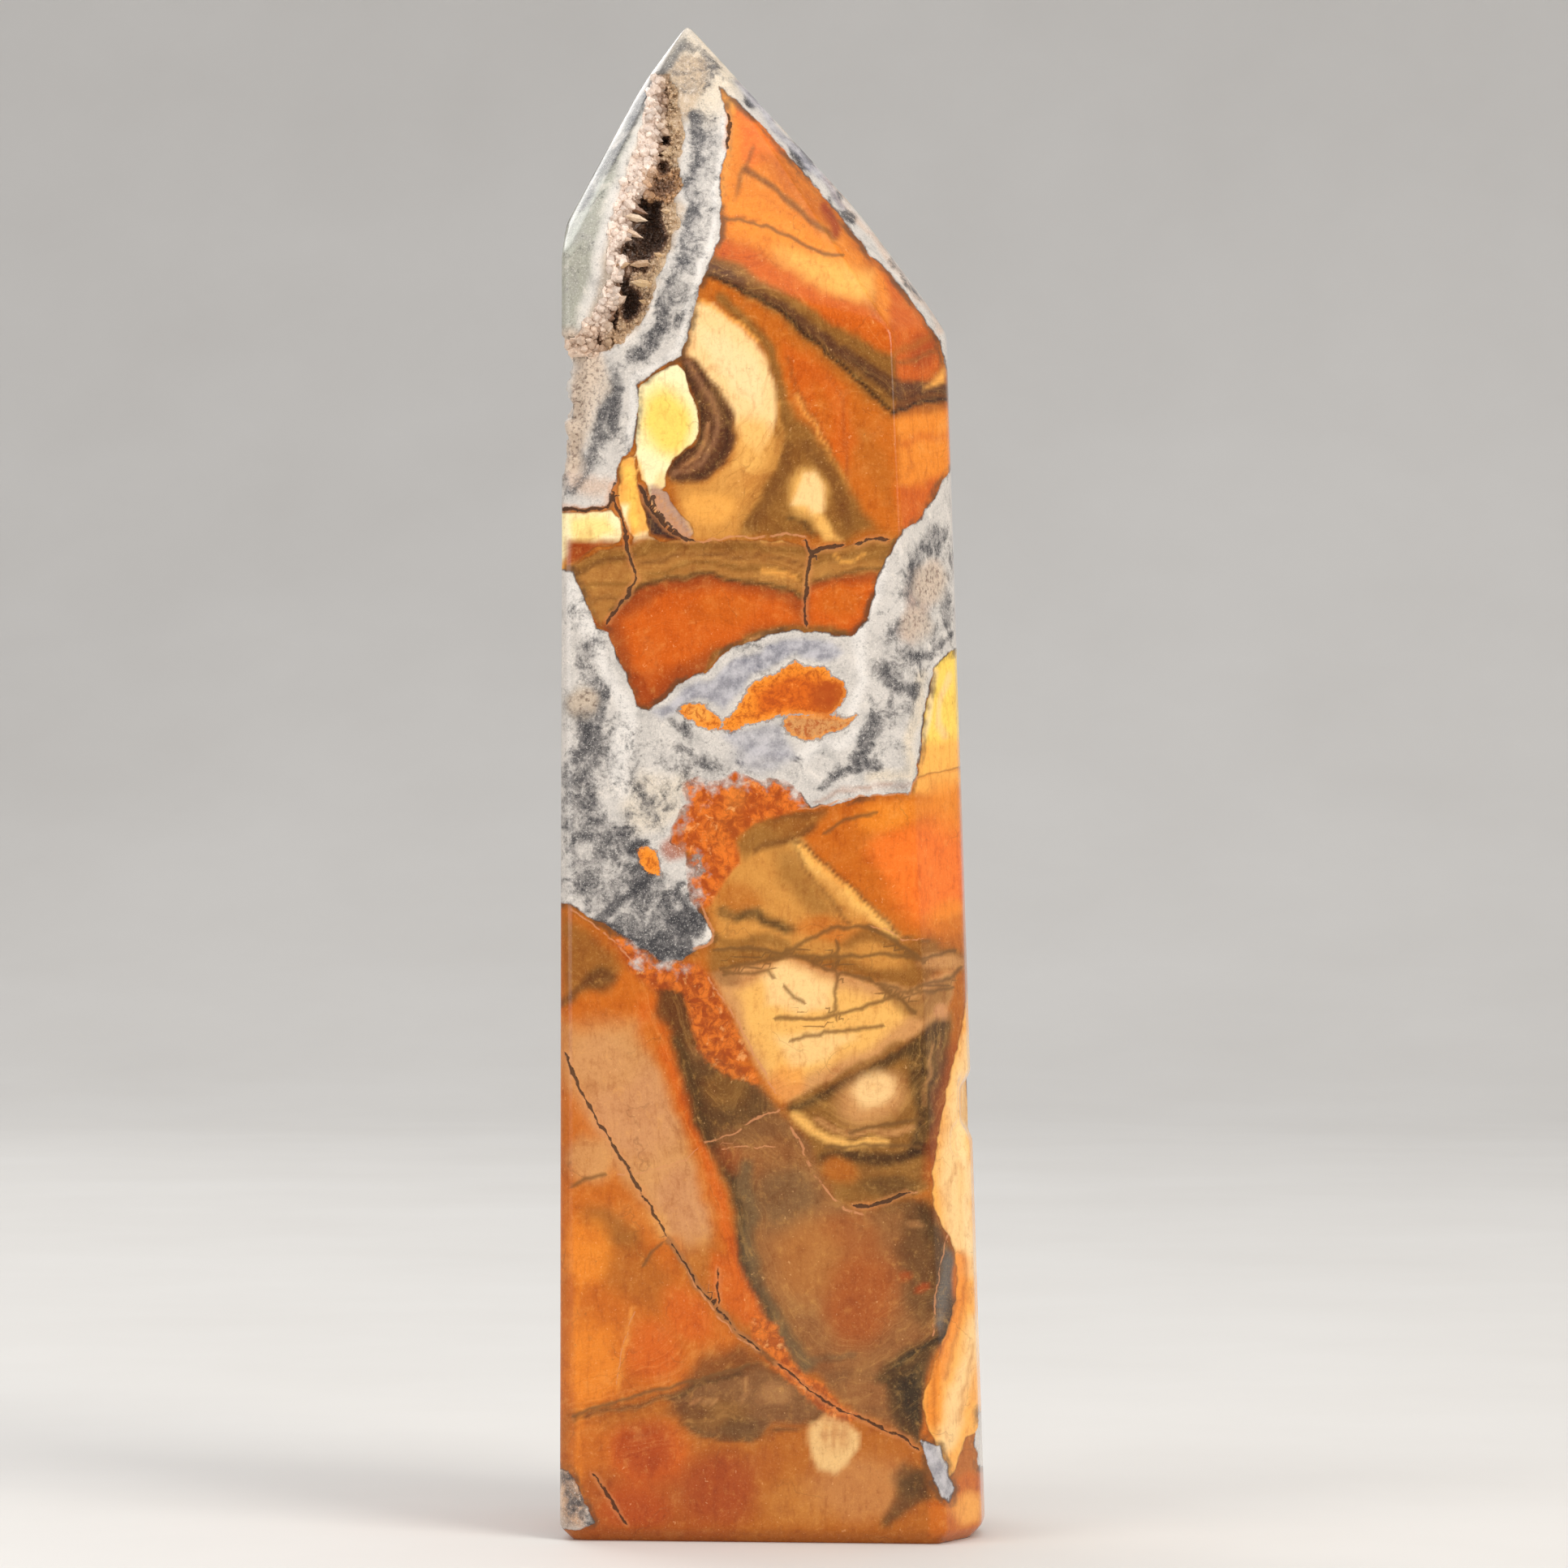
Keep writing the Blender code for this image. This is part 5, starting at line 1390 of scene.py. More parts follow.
def right_damage(points, x, y, behind):
    """Depth of the chip and the small vug on the right edge."""
    top, bottom, deep = RIGHT_CHIP
    middle, half = (top + bottom) / 2.0, (bottom - top) / 2.0
    edge = soft_step(half - np.abs(y - middle), CHIP_SOFT_DOWN)
    edge = edge * soft_step(x - CHIP_START, CHIP_SOFT_ACROSS)
    chip = edge * deep * (points[:, 1] < CHIP_BACK)
    place, half_sizes, deep = RIGHT_VUG
    vug = deep * soft_step(blob_reach(x, y, place, half_sizes), 0.4) * (behind < 2.0)
    return chip + vug


def pocket_sink(x, y, wider=0.0):
    """Depth of the crust's own surface along the line of sight, and the reach inside rim and hollows."""
    rim = (outline_reach(x, y, POCKET_RIM) + RIM_WAVE * wander(x, y, RIM_SIZE, RIM_SEED)) * PIXEL
    hollow = np.full(x.shape, -1.0)
    sink = LEDGE_DEPTH * soft_step(rim - LEDGE_SOFTNESS, LEDGE_SOFTNESS)
    for depth, outline in HOLLOWS:
        reach = outline_reach(x, y, outline) * PIXEL + wider
        hollow = np.maximum(hollow, reach)
        fallen = 1.0 - np.exp(-np.maximum(reach + HOLLOW_START, 0.0) / HOLLOW_EDGE)
        sink = np.maximum(sink, depth * MM * fallen)
    sink += HOLLOW_LIP * soft_step(hollow + LIP_WIDTH, LIP_WIDTH)
    return sink, rim, hollow


def mesh_object(name, points, faces, material, smooth=True):
    mesh = bpy.data.meshes.new(name)
    mesh.from_pydata([tuple(p) for p in points], [], faces)
    mesh.materials.append(material)
    mesh.polygons.foreach_set("use_smooth", [smooth] * len(mesh.polygons))
    mesh.validate()
    thing = bpy.data.objects.new(name, mesh)
    bpy.context.scene.collection.objects.link(thing)
    return thing


def store_field(thing, name, values):
    """A colour, or a set of three numbers, kept at every point of a mesh."""
    mesh = thing.data
    if name in COLOUR_FIELDS:
        layer = mesh.attributes.new(name, "FLOAT_COLOR", "POINT")
        data = np.concatenate([values, np.ones((len(values), 1))], axis=1)
        layer.data.foreach_set("color", data.astype(np.float32).ravel())
    else:
        layer = mesh.attributes.new(name, "FLOAT_VECTOR", "POINT")
        layer.data.foreach_set("vector", values.astype(np.float32).ravel())


def stone_faces(columns, rows):
    """Squares between the rows, and fans that close the point and the foot."""
    faces = []
    last = (rows - 1) * columns
    tip, foot_middle = rows * columns, rows * columns + 1
    for low in range(0, last, columns):
        for column in range(columns):
            after = (column + 1) % columns
            faces.append((low + column, low + after, low + columns + after, low + columns + column))
    for column in range(columns):
        after = (column + 1) % columns
        faces.append((last + column, last + after, tip))
        faces.append((after, column, foot_middle))
    return faces


def make_stone(material):
    """The polished stone, with damaged edges and the pocket sunk behind its crust."""
    turns = stone_columns()
    top = solve_top()
    body = np.arange(BODY_START, top - BODY_GAP, ROW_STEP)
    heights = np.concatenate([np.array(FOOT_ROWS) * MM, body, [top - LAST_GAP]])
    points, normals = stone_surface(heights, turns)
    columns, rows = len(turns), len(heights)
    x, y, behind = pattern_place(points)
    fields = pattern_fields(points)
    sink = left_damage(points) + right_damage(points, x, y, behind)
    deep, rim, _ = pocket_sink(x, y, BACKING_MARGIN)
    inside = np.where(behind < 1.0, soft_step(rim - BACKING_START, BACKING_SOFTNESS), 0.0)
    away = unit(points - camera_place())
    points = points - normals * sink[:, None]
    points = points + away * (inside * (BACKING_DEPTH + deep))[:, None]
    points = np.vstack([points, [[APEX[0], APEX[1], top]], [[0.0, 0.0, 0.0]]])
    stone = mesh_object("stone", points, stone_faces(columns, rows), material)
    for name, values in fields.items():
        store_field(stone, name, np.vstack([values, values[-columns], values[0]]))
    return stone


def sight_points(x, y):
    """Points of the polished front where lines of sight through the picture meet it."""
    right, back = camera_axes()
    start = camera_place()
    ways = right * ((x - PICTURE_MIDDLE) / FOCAL_PIXELS)[:, None]
    ways = ways + UP * ((PICTURE_MIDDLE - y) / FOCAL_PIXELS)[:, None] - back
    closing = ways @ NORMALS.T
    run = np.where(closing < -1e-6, (REACHES - NORMALS @ start) / np.minimum(closing, -1e-6), -FAR)
    return start + ways * run.max(axis=1)[:, None], unit(ways)


# The crust's sheet: its extent and step in pixels, how far it goes on under the rim, and its lumps,
# with their shares, sizes and depth, and how much deeper they are at the hollows
SHEET_ACROSS = (688.0, 866.0)
SHEET_DOWN = (60.0, 450.0)
SHEET_STEP = 2.0
SHEET_MARGIN = 0.35 * MM
LUMPS = [(1.0, 0.6 * MM), (0.9, 1.3 * MM)]
LUMP_DEPTH = 0.3 * MM
EXTRA_LUMP_DEPTH = 0.25 * MM

# Colours of the pocket's walls, from the lit side to the bottom, with painted light and shade: pale where
# the wall faces the light, tan as painted shade on the far side, brown darkening with depth as painted
# shade, and the height where they turn warmer
LIT_WALL = srgb(232, 214, 200)
SHADED_WALL = srgb(188, 160, 126)
WARM_WALL = srgb(176, 140, 104)
AMBER_WALL = srgb(172, 126, 80)
BROWN_SHADED_DEPTH = srgb(132, 98, 74)
DEEP_SHADOW_WALL = srgb(78, 56, 44)
WARM_BELOW = 395.0

# Middle line of the hollows: heights and places across, left of which the wall faces the light
LIT_SIDE = ([100, 180, 250, 300, 350, 420], [817, 815, 796, 784, 772, 745])

# Small crystals: their number and seed, ranges of radius in millimetres, of length in radii and of
# brightness, the share of the length that is sunk in the sheet, the share of large ones where the
# wall is lit, and how much they stand off the wall, lean to the camera and lean by chance
CRYSTALS = 3000
CRYSTAL_SEED = 11
SMALL_RADIUS = (0.14, 0.32)
LARGE_RADIUS = (0.45, 0.85)
CRYSTAL_LENGTH = (1.8, 3.2)
CRYSTAL_SHADE = (0.72, 1.3)
SUNK_SHARE = 0.42
LARGE_SHARE = 0.2
OFF_WALL, TO_CAMERA, BY_CHANCE = 0.9, 0.35, 0.28

# Form of one crystal: number of sides, height of the shaft and narrowing of its foot
CRYSTAL_SIDES = 6
SHAFT = 0.55
TAPER = 0.92

# Long crystals that reach across the hollows: place, lean below level, radius, length in mm, colour, which
# holds painted light and shade as well as the crystal's own tone
TEETH = [
    (767, 244, 32, 0.80, 3.6, srgb(150, 116, 92)),
    (778, 256, 22, 0.70, 3.0, srgb(128, 94, 72)),
    (771, 266, 14, 0.85, 3.8, srgb(222, 198, 170)),
    (766, 282, 24, 0.70, 4.0, srgb(204, 174, 146)),
    (763, 293, 10, 0.60, 2.2, srgb(214, 186, 164)),
    (802, 351, 188, 0.85, 3.4, srgb(198, 166, 122)),
    (756, 328, -8, 0.90, 2.8, srgb(186, 152, 116)),
    (798, 324, 172, 0.80, 3.0, srgb(176, 142, 108)),
    (789, 204, 22, 0.70, 2.2, srgb(232, 212, 194)),
    (782, 220, 12, 0.80, 2.6, srgb(228, 204, 184)),
    (828, 190, 184, 0.60, 1.9, srgb(216, 188, 152)),
    (827, 262, 192, 0.60, 1.8, srgb(204, 172, 132)),
    (749, 358, 26, 0.85, 2.6, srgb(226, 202, 182)),
    (744, 372, 14, 0.80, 2.4, srgb(226, 204, 186)),
    (752, 344, -4, 0.60, 1.8, srgb(230, 208, 190)),
    (819, 318, 204, 0.60, 2.0, srgb(196, 160, 116)),
    (800, 374, 196, 0.55, 1.8, srgb(190, 156, 112)),
]
TOOTH_DEPTH = 1.1 * MM


def crust_tint(x, y, sink):
    """Pinkish white painted light where the wall faces the light, tan painted shade on the other side, and
    brown down inside, partly the inner crystals' own colour and partly painted shade that darkens with
    depth.
    """
    depth = sink / MM
    layers = [
        (SHADED_WALL, soft_step(x - np.interp(y, *LIT_SIDE), 10.0)),
        (WARM_WALL, 0.5 * soft_step(y - WARM_BELOW, 20.0)),
        (AMBER_WALL, 0.8 * soft_step(outline_reach(x, y, AMBER_PART) + 3.0, 4.0)),
        (BROWN_SHADED_DEPTH, soft_step(depth - 1.3, 0.8)),
        (DEEP_SHADOW_WALL, soft_step(depth - 3.0, 1.0)),
    ]
    colours = np.tile(LIT_WALL, (len(x), 1))
    for colour, share in layers:
        colours = blended(colours, colour, share)
    return colours


def crystal_shape():
    """Corner places and faces of one pointed crystal of unit length and radius."""
    ring = [2.0 * math.pi * index / CRYSTAL_SIDES for index in range(CRYSTAL_SIDES)]
    low = [(TAPER * math.cos(a), TAPER * math.sin(a), 0.0) for a in ring]
    high = [(math.cos(a), math.sin(a), SHAFT) for a in ring]
    faces = []
    for index in range(CRYSTAL_SIDES):
        after = (index + 1) % CRYSTAL_SIDES
        faces.append((index, after, CRYSTAL_SIDES + after, CRYSTAL_SIDES + index))
        faces.append((CRYSTAL_SIDES + index, CRYSTAL_SIDES + after, 2 * CRYSTAL_SIDES))
    return np.array(low + high + [(0.0, 0.0, 1.0)]), faces


def standing_along(direction):
    """Rotation that turns the upright axis to a direction."""
    return Vector(direction).to_track_quat("Z", "Y").to_matrix()


def sheet_sink(bases, sink, rim, hollow):
    """Depth of the sheet's lumpy surface, which dips under the polish outside the rim."""
    lumps = np.array([knobbly(Vector(base), LUMPS) for base in bases])
    rough = LUMP_DEPTH + EXTRA_LUMP_DEPTH * soft_step(hollow + 1.5 * MM, 1.0 * MM)
    sink = np.maximum(sink + 0.1 * MM - lumps * rough, -0.02 * MM)
    return np.where(rim < 0.0, 0.05 * MM - rim * 0.8, sink)


def sheet_faces(columns, rows, keep):
    """Squares of the sheet whose four corners are kept."""
    faces = []
    for row in range(rows - 1):
        for column in range(columns - 1):
            corner = row * columns + column
            square = (corner, corner + columns, corner + columns + 1, corner + 1)
            if all(keep[i] for i in square):
                faces.append(square)
    return faces


def small_crystals(points, tint, slopes, hollow, lit, inside):
    """Crystals strewn over the sheet, more of them at the hollows, with the large ones on the lit side."""
    chance = np.random.default_rng(CRYSTAL_SEED)
    weight = 0.5 + 1.6 * soft_step(hollow[inside] + 1.2 * MM, 0.8 * MM)
    chosen = chance.choice(inside, size=CRYSTALS, replace=True, p=weight / weight.sum())
    right, back = camera_axes()
    shape, faces = crystal_shape()
    made = []
    for index in chosen:
        wall = float(soft_step(hollow[index] + 1.0 * MM, 0.7 * MM))
        across, down = slopes[index]
        facing = unit(back + right * across - UP * down)
        facing = unit(facing * OFF_WALL + back * TO_CAMERA + chance.normal(0.0, BY_CHANCE, 3))
        large = chance.random() < (LARGE_SHARE + LARGE_SHARE * wall) * lit[index]
        radius = chance.uniform(*(LARGE_RADIUS if large else SMALL_RADIUS)) * MM
        length = radius * chance.uniform(*CRYSTAL_LENGTH)
        spin = Matrix.Rotation(chance.uniform(0.0, math.pi / 3.0), 3, "Z")
        turn = standing_along(facing) @ spin
        placed = shape * np.array([radius, radius, length]) @ np.array(turn).T
        root = points[index] - facing * length * SUNK_SHARE
        # A crystal takes the wall colour at its root, painted light and shade included, brighter or duller
        # by chance
        shade = np.minimum(tint[index] * chance.uniform(*CRYSTAL_SHADE), 1.0)
        made.append((placed + root, faces, np.tile(shade, (len(shape), 1))))
    return made


def long_crystal(x, y, lean, radius, length, colour):
    """A crystal that reaches across a hollow from its wall."""
    right, back = camera_axes()
    shape, faces = crystal_shape()
    base, way = [found[0] for found in sight_points(np.array([float(x)]), np.array([float(y)]))]
    angle = math.radians(lean)
    facing = unit(right * math.cos(angle) - UP * math.sin(angle) + back * 0.25)
    sizes = np.array([radius, radius * 0.8, length]) * MM
    placed = shape * sizes @ np.array(standing_along(facing)).T
    return placed + base + way * TOOTH_DEPTH, faces, np.tile(colour, (len(shape), 1))


def joined(pieces):
    """Points, faces and tints of several pieces as those of one mesh."""
    all_points, all_faces, all_tints, made = [], [], [], 0
    for points, faces, tint in pieces:
        all_points.append(points)
        all_faces.extend(tuple(made + corner for corner in face) for face in faces)
        all_tints.append(tint)
        made += len(points)
    return np.vstack(all_points), all_faces, np.vstack(all_tints)


def drop_loose_points(mesh):
    bm = bmesh.new()
    bm.from_mesh(mesh)
    loose = [vert for vert in bm.verts if not vert.link_faces]
    bmesh.ops.delete(bm, geom=loose, context="VERTS")
    bm.to_mesh(mesh)
    bm.free()


def make_crust(material):
    """The pocket's druse: a lumpy sugary sheet that sinks into the hollows, set with crystals."""
    xs = np.arange(*SHEET_ACROSS, SHEET_STEP)
    ys = np.arange(*SHEET_DOWN, SHEET_STEP)
    x, y = [grid.ravel() for grid in np.meshgrid(xs, ys)]
    sink, rim, hollow = pocket_sink(x, y)
    bases, ways = sight_points(x, y)
    sink = sheet_sink(bases, sink, rim, hollow)
    points = bases + ways * sink[:, None]
    # The sheet's colour: the walls' painted light and shade, which the crystals take too
    tint = crust_tint(x, y, sink)
    down, across = np.gradient(sink.reshape(len(ys), len(xs)), SHEET_STEP * PIXEL)
    slopes = np.stack([across.ravel(), down.ravel()], axis=1)
    inside = np.flatnonzero(rim > 0.25 * MM)
    lit = soft_step(np.interp(y, *LIT_SIDE) - x, 8.0)
    pieces = [(points, sheet_faces(len(xs), len(ys), rim > -SHEET_MARGIN), tint)]
    pieces += small_crystals(points, tint, slopes, hollow, lit, inside)
    pieces += [long_crystal(*tooth) for tooth in TEETH]
    all_points, all_faces, all_tints = joined(pieces)
    crust = mesh_object("druse_crust", all_points, all_faces, material, smooth=False)
    store_field(crust, "tint", all_tints)
    drop_loose_points(crust.data)
    return crust


# Inputs and output of the mix node, for numbers and for colours
NUMBER_SOCKETS = ((0, 2, 3), 0)
COLOUR_SOCKETS = ((0, 6, 7), 2)


class Shader:
    """Short hand for the nodes of one material."""

    def __init__(self, name):
        self.material = bpy.data.materials.new(name)
        self.material.use_nodes = True
        self.tree = self.material.node_tree
        self.surface = self.tree.nodes["Principled BSDF"]

    def node(self, kind, **settings):
        made = self.tree.nodes.new(kind)
        for key, value in settings.items():
            setattr(made, key, value)
        return made

    def feed(self, socket, value):
        if isinstance(value, bpy.types.NodeSocket):
            self.tree.links.new(value, socket)
        elif isinstance(value, (int, float)):
            socket.default_value = value
        else:
            numbers = [float(part) for part in value]
            if len(socket.default_value) == 4 and len(numbers) == 3:
                numbers.append(1.0)
            socket.default_value = numbers

    def fill(self, made, **values):
        """Feed inputs by name, with an underline for each space, and give the outputs."""
        for name, value in values.items():
            self.feed(made.inputs[name.replace("_", " ")], value)
        return made.outputs

    def math(self, operation, first, second=0.0):
        made = self.node("ShaderNodeMath", operation=operation)
        self.feed(made.inputs[0], first)
        self.feed(made.inputs[1], second)
        return made.outputs[0]

    def plus(self, first, second):
        return self.math("ADD", first, second)

    def less(self, first, second):
        return self.math("SUBTRACT", first, second)

    def times(self, first, second):
        return self.math("MULTIPLY", first, second)

    def vector(self, operation, *values):
        made = self.node("ShaderNodeVectorMath", operation=operation)
        for socket, value in zip(made.inputs, values):
            self.feed(socket, value)
        return made.outputs[0]

    def mix_values(self, kind, sockets, share, first, second, blend="MIX"):
        made = self.node("ShaderNodeMix", data_type=kind, blend_type=blend)
        inputs, output = sockets
        for index, value in zip(inputs, (share, first, second)):
            self.feed(made.inputs[index], value)
        return made.outputs[output]

    def mix(self, share, first, second, blend="MIX"):
        return self.mix_values("RGBA", COLOUR_SOCKETS, share, first, second, blend)

    def blend(self, share, first, second):
        return self.mix_values("FLOAT", NUMBER_SOCKETS, share, first, second)

    def step(self, value, low, high, to_low=0.0, to_high=1.0):
        made = self.node("ShaderNodeMapRange", interpolation_type="SMOOTHSTEP")
        for socket, number in zip(made.inputs, (value, low, high, to_low, to_high)):
            self.feed(socket, number)
        return made.outputs[0]

    def ridge(self, value, level, far, close, share=1.0):
        """Full where the value is close to a level, nothing far from it."""
        return self.step(self.math("ABSOLUTE", self.less(value, level)), far, close, 0.0, share)

    def tint(self, colour, value, start, full, share, tint):
        """A tint mixed in where the value passes from start to full."""
        return self.mix(self.step(value, start, full, 0.0, share), colour, tint)

    def shade(self, colour, value, start, full, share, tint):
        """The same as tint, but multiplied."""
        return self.mix(self.step(value, start, full, 0.0, share), colour, tint, "MULTIPLY")

    def cover(self, colour, mask, share, tint, blend="MIX"):
        """A tint laid over the colour by a mask, to a share of its strength."""
        return self.mix(self.times(mask, share), colour, tint, blend)

    def noise(self, place, scale, detail=3.0, roughness=0.55, distortion=0.0, output="Fac"):
        made = self.node("ShaderNodeTexNoise")
        return self.fill(
            made, Vector=place, Scale=scale, Detail=detail, Roughness=roughness, Distortion=distortion
        )[output]

    def swing(self, *settings):
        """Noise centred on zero."""
        return self.less(self.noise(*settings), 0.5)

    def cells(self, place, scale, feature):
        made = self.node("ShaderNodeTexVoronoi", feature=feature)
        return self.fill(made, Vector=place, Scale=scale)["Distance"]

    def bent(self, place, scale, reach):
        """The place, moved about by noise."""
        return self.vector("MULTIPLY_ADD", self.noise(place, scale, output="Color"), (reach,) * 3, place)

    def attribute(self, name, output="Color"):
        return self.node("ShaderNodeAttribute", attribute_name=name).outputs[output]

    def parts(self, name):
        made = self.node("ShaderNodeSeparateXYZ")
        return self.fill(made, Vector=self.attribute(name, "Vector"))

    def millimetres(self):
        return self.vector("MULTIPLY", self.node("ShaderNodeTexCoord").outputs["Object"], (1.0 / MM,) * 3)

    def bump(self, height, distance, strength=1.0, below=None):
        made = self.node("ShaderNodeBump")
        if below is not None:
            self.feed(made.inputs["Normal"], below)
        return self.fill(made, Height=height, Distance=distance, Strength=strength)["Normal"]

    def finish(self, **values):
        self.fill(self.surface, **values)
        return self.material


# Tints of the jasper's fine texture: shades are multiplied, the others mixed in
CONTACT_BROWN = srgb(110, 66, 30)
BAND_SHADE = srgb(196, 160, 128)
WARM_GLOW = srgb(250, 190, 104)
CLOUD_SHADE = srgb(206, 168, 140)
BLOTCH_SHADE = srgb(190, 146, 112)
BLOTCH_GLOW = srgb(250, 186, 96)
STREAK_SHADE = srgb(196, 152, 118)
GRAIN_SHADE = srgb(190, 144, 112)
GRAIN_GLOW = srgb(252, 206, 130)
DARK_DOT = srgb(90, 52, 28)
PALE_DOT = srgb(250, 196, 130)
HAIRLINE = srgb(92, 52, 26)

# Crumbly rust
LIGHT_RUST = srgb(226, 120, 40)
DEEP_RUST = srgb(158, 68, 22)
RUST_CREASE = srgb(110, 54, 24)
RUST_SHINE = srgb(246, 176, 104)

# Quartz, its edges and its sugary crust
QUARTZ_CLOUD = srgb(150, 146, 142)
QUARTZ_GLOW = srgb(240, 230, 218)
QUARTZ_HAZE = srgb(92, 89, 90)
QUARTZ_GRAIN = srgb(46, 46, 50)
DARK_FLECK = srgb(96, 90, 88)
PALE_FLECK = srgb(246, 239, 230)
PALE_BLUE = srgb(184, 182, 190)
DEEP_BLUE = srgb(104, 106, 122)
# Sugary crust, pale and brown: partly its crystals' own tone, partly painted light and shade on their faces
PALE_SUGAR = srgb(234, 212, 188)
BROWN_SUGAR = srgb(132, 104, 86)
SMOKE = srgb(84, 60, 38)
VEIN_OUTLINE = srgb(70, 52, 42)

# Orange islands
ISLAND_RED = srgb(168, 70, 20)
ISLAND_GLOW = srgb(246, 158, 70)
ISLAND_GRAIN = srgb(140, 58, 18)
ISLAND_RIM = srgb(246, 160, 70)
ISLAND_SHADOW = srgb(88, 62, 44)

# Threads, seams and cracks
THREAD = srgb(112, 76, 38)
SEAM = srgb(204, 138, 92)
CRACK_HALO = srgb(214, 140, 84)
CRACK = srgb(48, 28, 16)

# Crust of crystals and floor
CRUST_BROWN = srgb(140, 102, 74)
CRUST_GLOW = srgb(240, 222, 204)
FLOOR_LIGHT = srgb(226, 224, 220)
FLOOR_DARK = srgb(214, 211, 206)

# Polish and relief
JASPER_ROUGHNESS = 0.14
QUARTZ_ROUGHNESS = 0.2
SUGARY_ROUGHNESS = 0.5
CRACK_ROUGHNESS = 0.8
STONE_REFLECTION = 0.3
CRUST_REFLECTION = 0.5
CRACK_DEPTH = 0.25 * MM
PIT_DEPTH = 0.02 * MM
CRUST_BUMP = 0.06 * MM


def fine_bands(s, colour, place, coarse):
    """Thin darker and lighter bands that follow the guide lines."""
    phase, strength, _ = s.parts("bands")
    flow = s.node("ShaderNodeCombineXYZ")
    across = s.plus(phase, s.times(coarse, 1.6))
    s.fill(flow, X=across, Y=s.times(s.noise(place, 0.07, 2.0), 3.0))
    bands = s.noise(flow.outputs[0], 1.5, 4.0, 0.7)
    dark = s.times(s.step(bands, 0.50, 0.70), strength)
    light = s.times(s.step(bands, 0.48, 0.30), strength)
    colour = s.cover(colour, dark, 0.34, BAND_SHADE, "MULTIPLY")
    return s.cover(colour, light, 0.14, WARM_GLOW)


def mottling(s, colour, place):
    """Clouds, blotches, upright streaks, grain and dots, from coarse to fine."""
    clouds = s.noise(place, 0.2, 6.0, 0.62, 0.5)
    colour = s.shade(colour, clouds, 0.50, 0.72, 0.42, CLOUD_SHADE)
    colour = s.tint(colour, clouds, 0.48, 0.26, 0.12, WARM_GLOW)
    blotch = s.noise(place, 0.7, 6.0, 0.68, 0.3)
    colour = s.shade(colour, blotch, 0.50, 0.74, 0.36, BLOTCH_SHADE)
    colour = s.tint(colour, blotch, 0.47, 0.28, 0.16, BLOTCH_GLOW)
    streaks = s.noise(s.vector("MULTIPLY", place, (1.0, 1.0, 0.22)), 1.5, 5.0, 0.6)
    colour = s.shade(colour, streaks, 0.50, 0.72, 0.30, STREAK_SHADE)
    grain = s.noise(place, 3.0, 6.0, 0.75)
    colour = s.shade(colour, grain, 0.51, 0.74, 0.36, GRAIN_SHADE)
    colour = s.tint(colour, grain, 0.47, 0.28, 0.17, GRAIN_GLOW)
    dots = s.noise(place, 1.7, 2.0, 0.4)
    colour = s.tint(colour, dots, 0.72, 0.80, 0.30, DARK_DOT)
    return s.tint(colour, dots, 0.29, 0.24, 0.25, PALE_DOT), grain


def hairlines(s, colour, place):
    """Sparse fine cracks between large cells."""
    cells = s.cells(s.bent(place, 0.2, 7.0), 0.07, "DISTANCE_TO_EDGE")
    gate = s.step(s.noise(place, 0.12, 2.0), 0.5, 0.6)
    return s.cover(colour, s.times(s.step(cells, 0.012, 0.003), gate), 0.22, HAIRLINE)


def rust_colour(s, place):
    """Knotted rust with dark creases and bright spots."""
    knots = s.noise(place, 0.65, 5.0, 0.64, 0.6)
    rust = s.mix(s.step(knots, 0.36, 0.62), LIGHT_RUST, DEEP_RUST)
    crease = s.ridge(s.noise(place, 0.42, 4.0, 0.6, 0.8), 0.5, 0.03, 0.0, 0.4)
    rust = s.mix(crease, rust, RUST_CREASE)
    shine = s.step(s.noise(place, 0.6, 4.0, 0.6, 0.4), 0.58, 0.72)
    return s.cover(rust, shine, 0.7, RUST_SHINE)


def jasper_colour(s, place, ragged, coarse, middling):
    """Ground and fragments with their fine texture, and rust in the crumbly zones."""
    fragment, _, _ = s.parts("reach")
    _, _, crumbs = s.parts("bands")
    edge = s.plus(fragment, s.times(ragged, 0.22))
    colour = s.mix(s.step(edge, -0.07, 0.07), s.attribute("ground"), s.attribute("fragment"))
    colour = s.mix(s.ridge(edge, 0.0, 0.26, 0.03, 0.4), colour, CONTACT_BROWN)
    colour = fine_bands(s, colour, place, coarse)
    colour, grain = mottling(s, colour, place)
    colour = hairlines(s, colour, place)
    crumbly = s.step(s.plus(crumbs, s.times(middling, 0.9)), 0.05, 0.85)
    return s.cover(colour, crumbly, 0.78, rust_colour(s, place)), grain


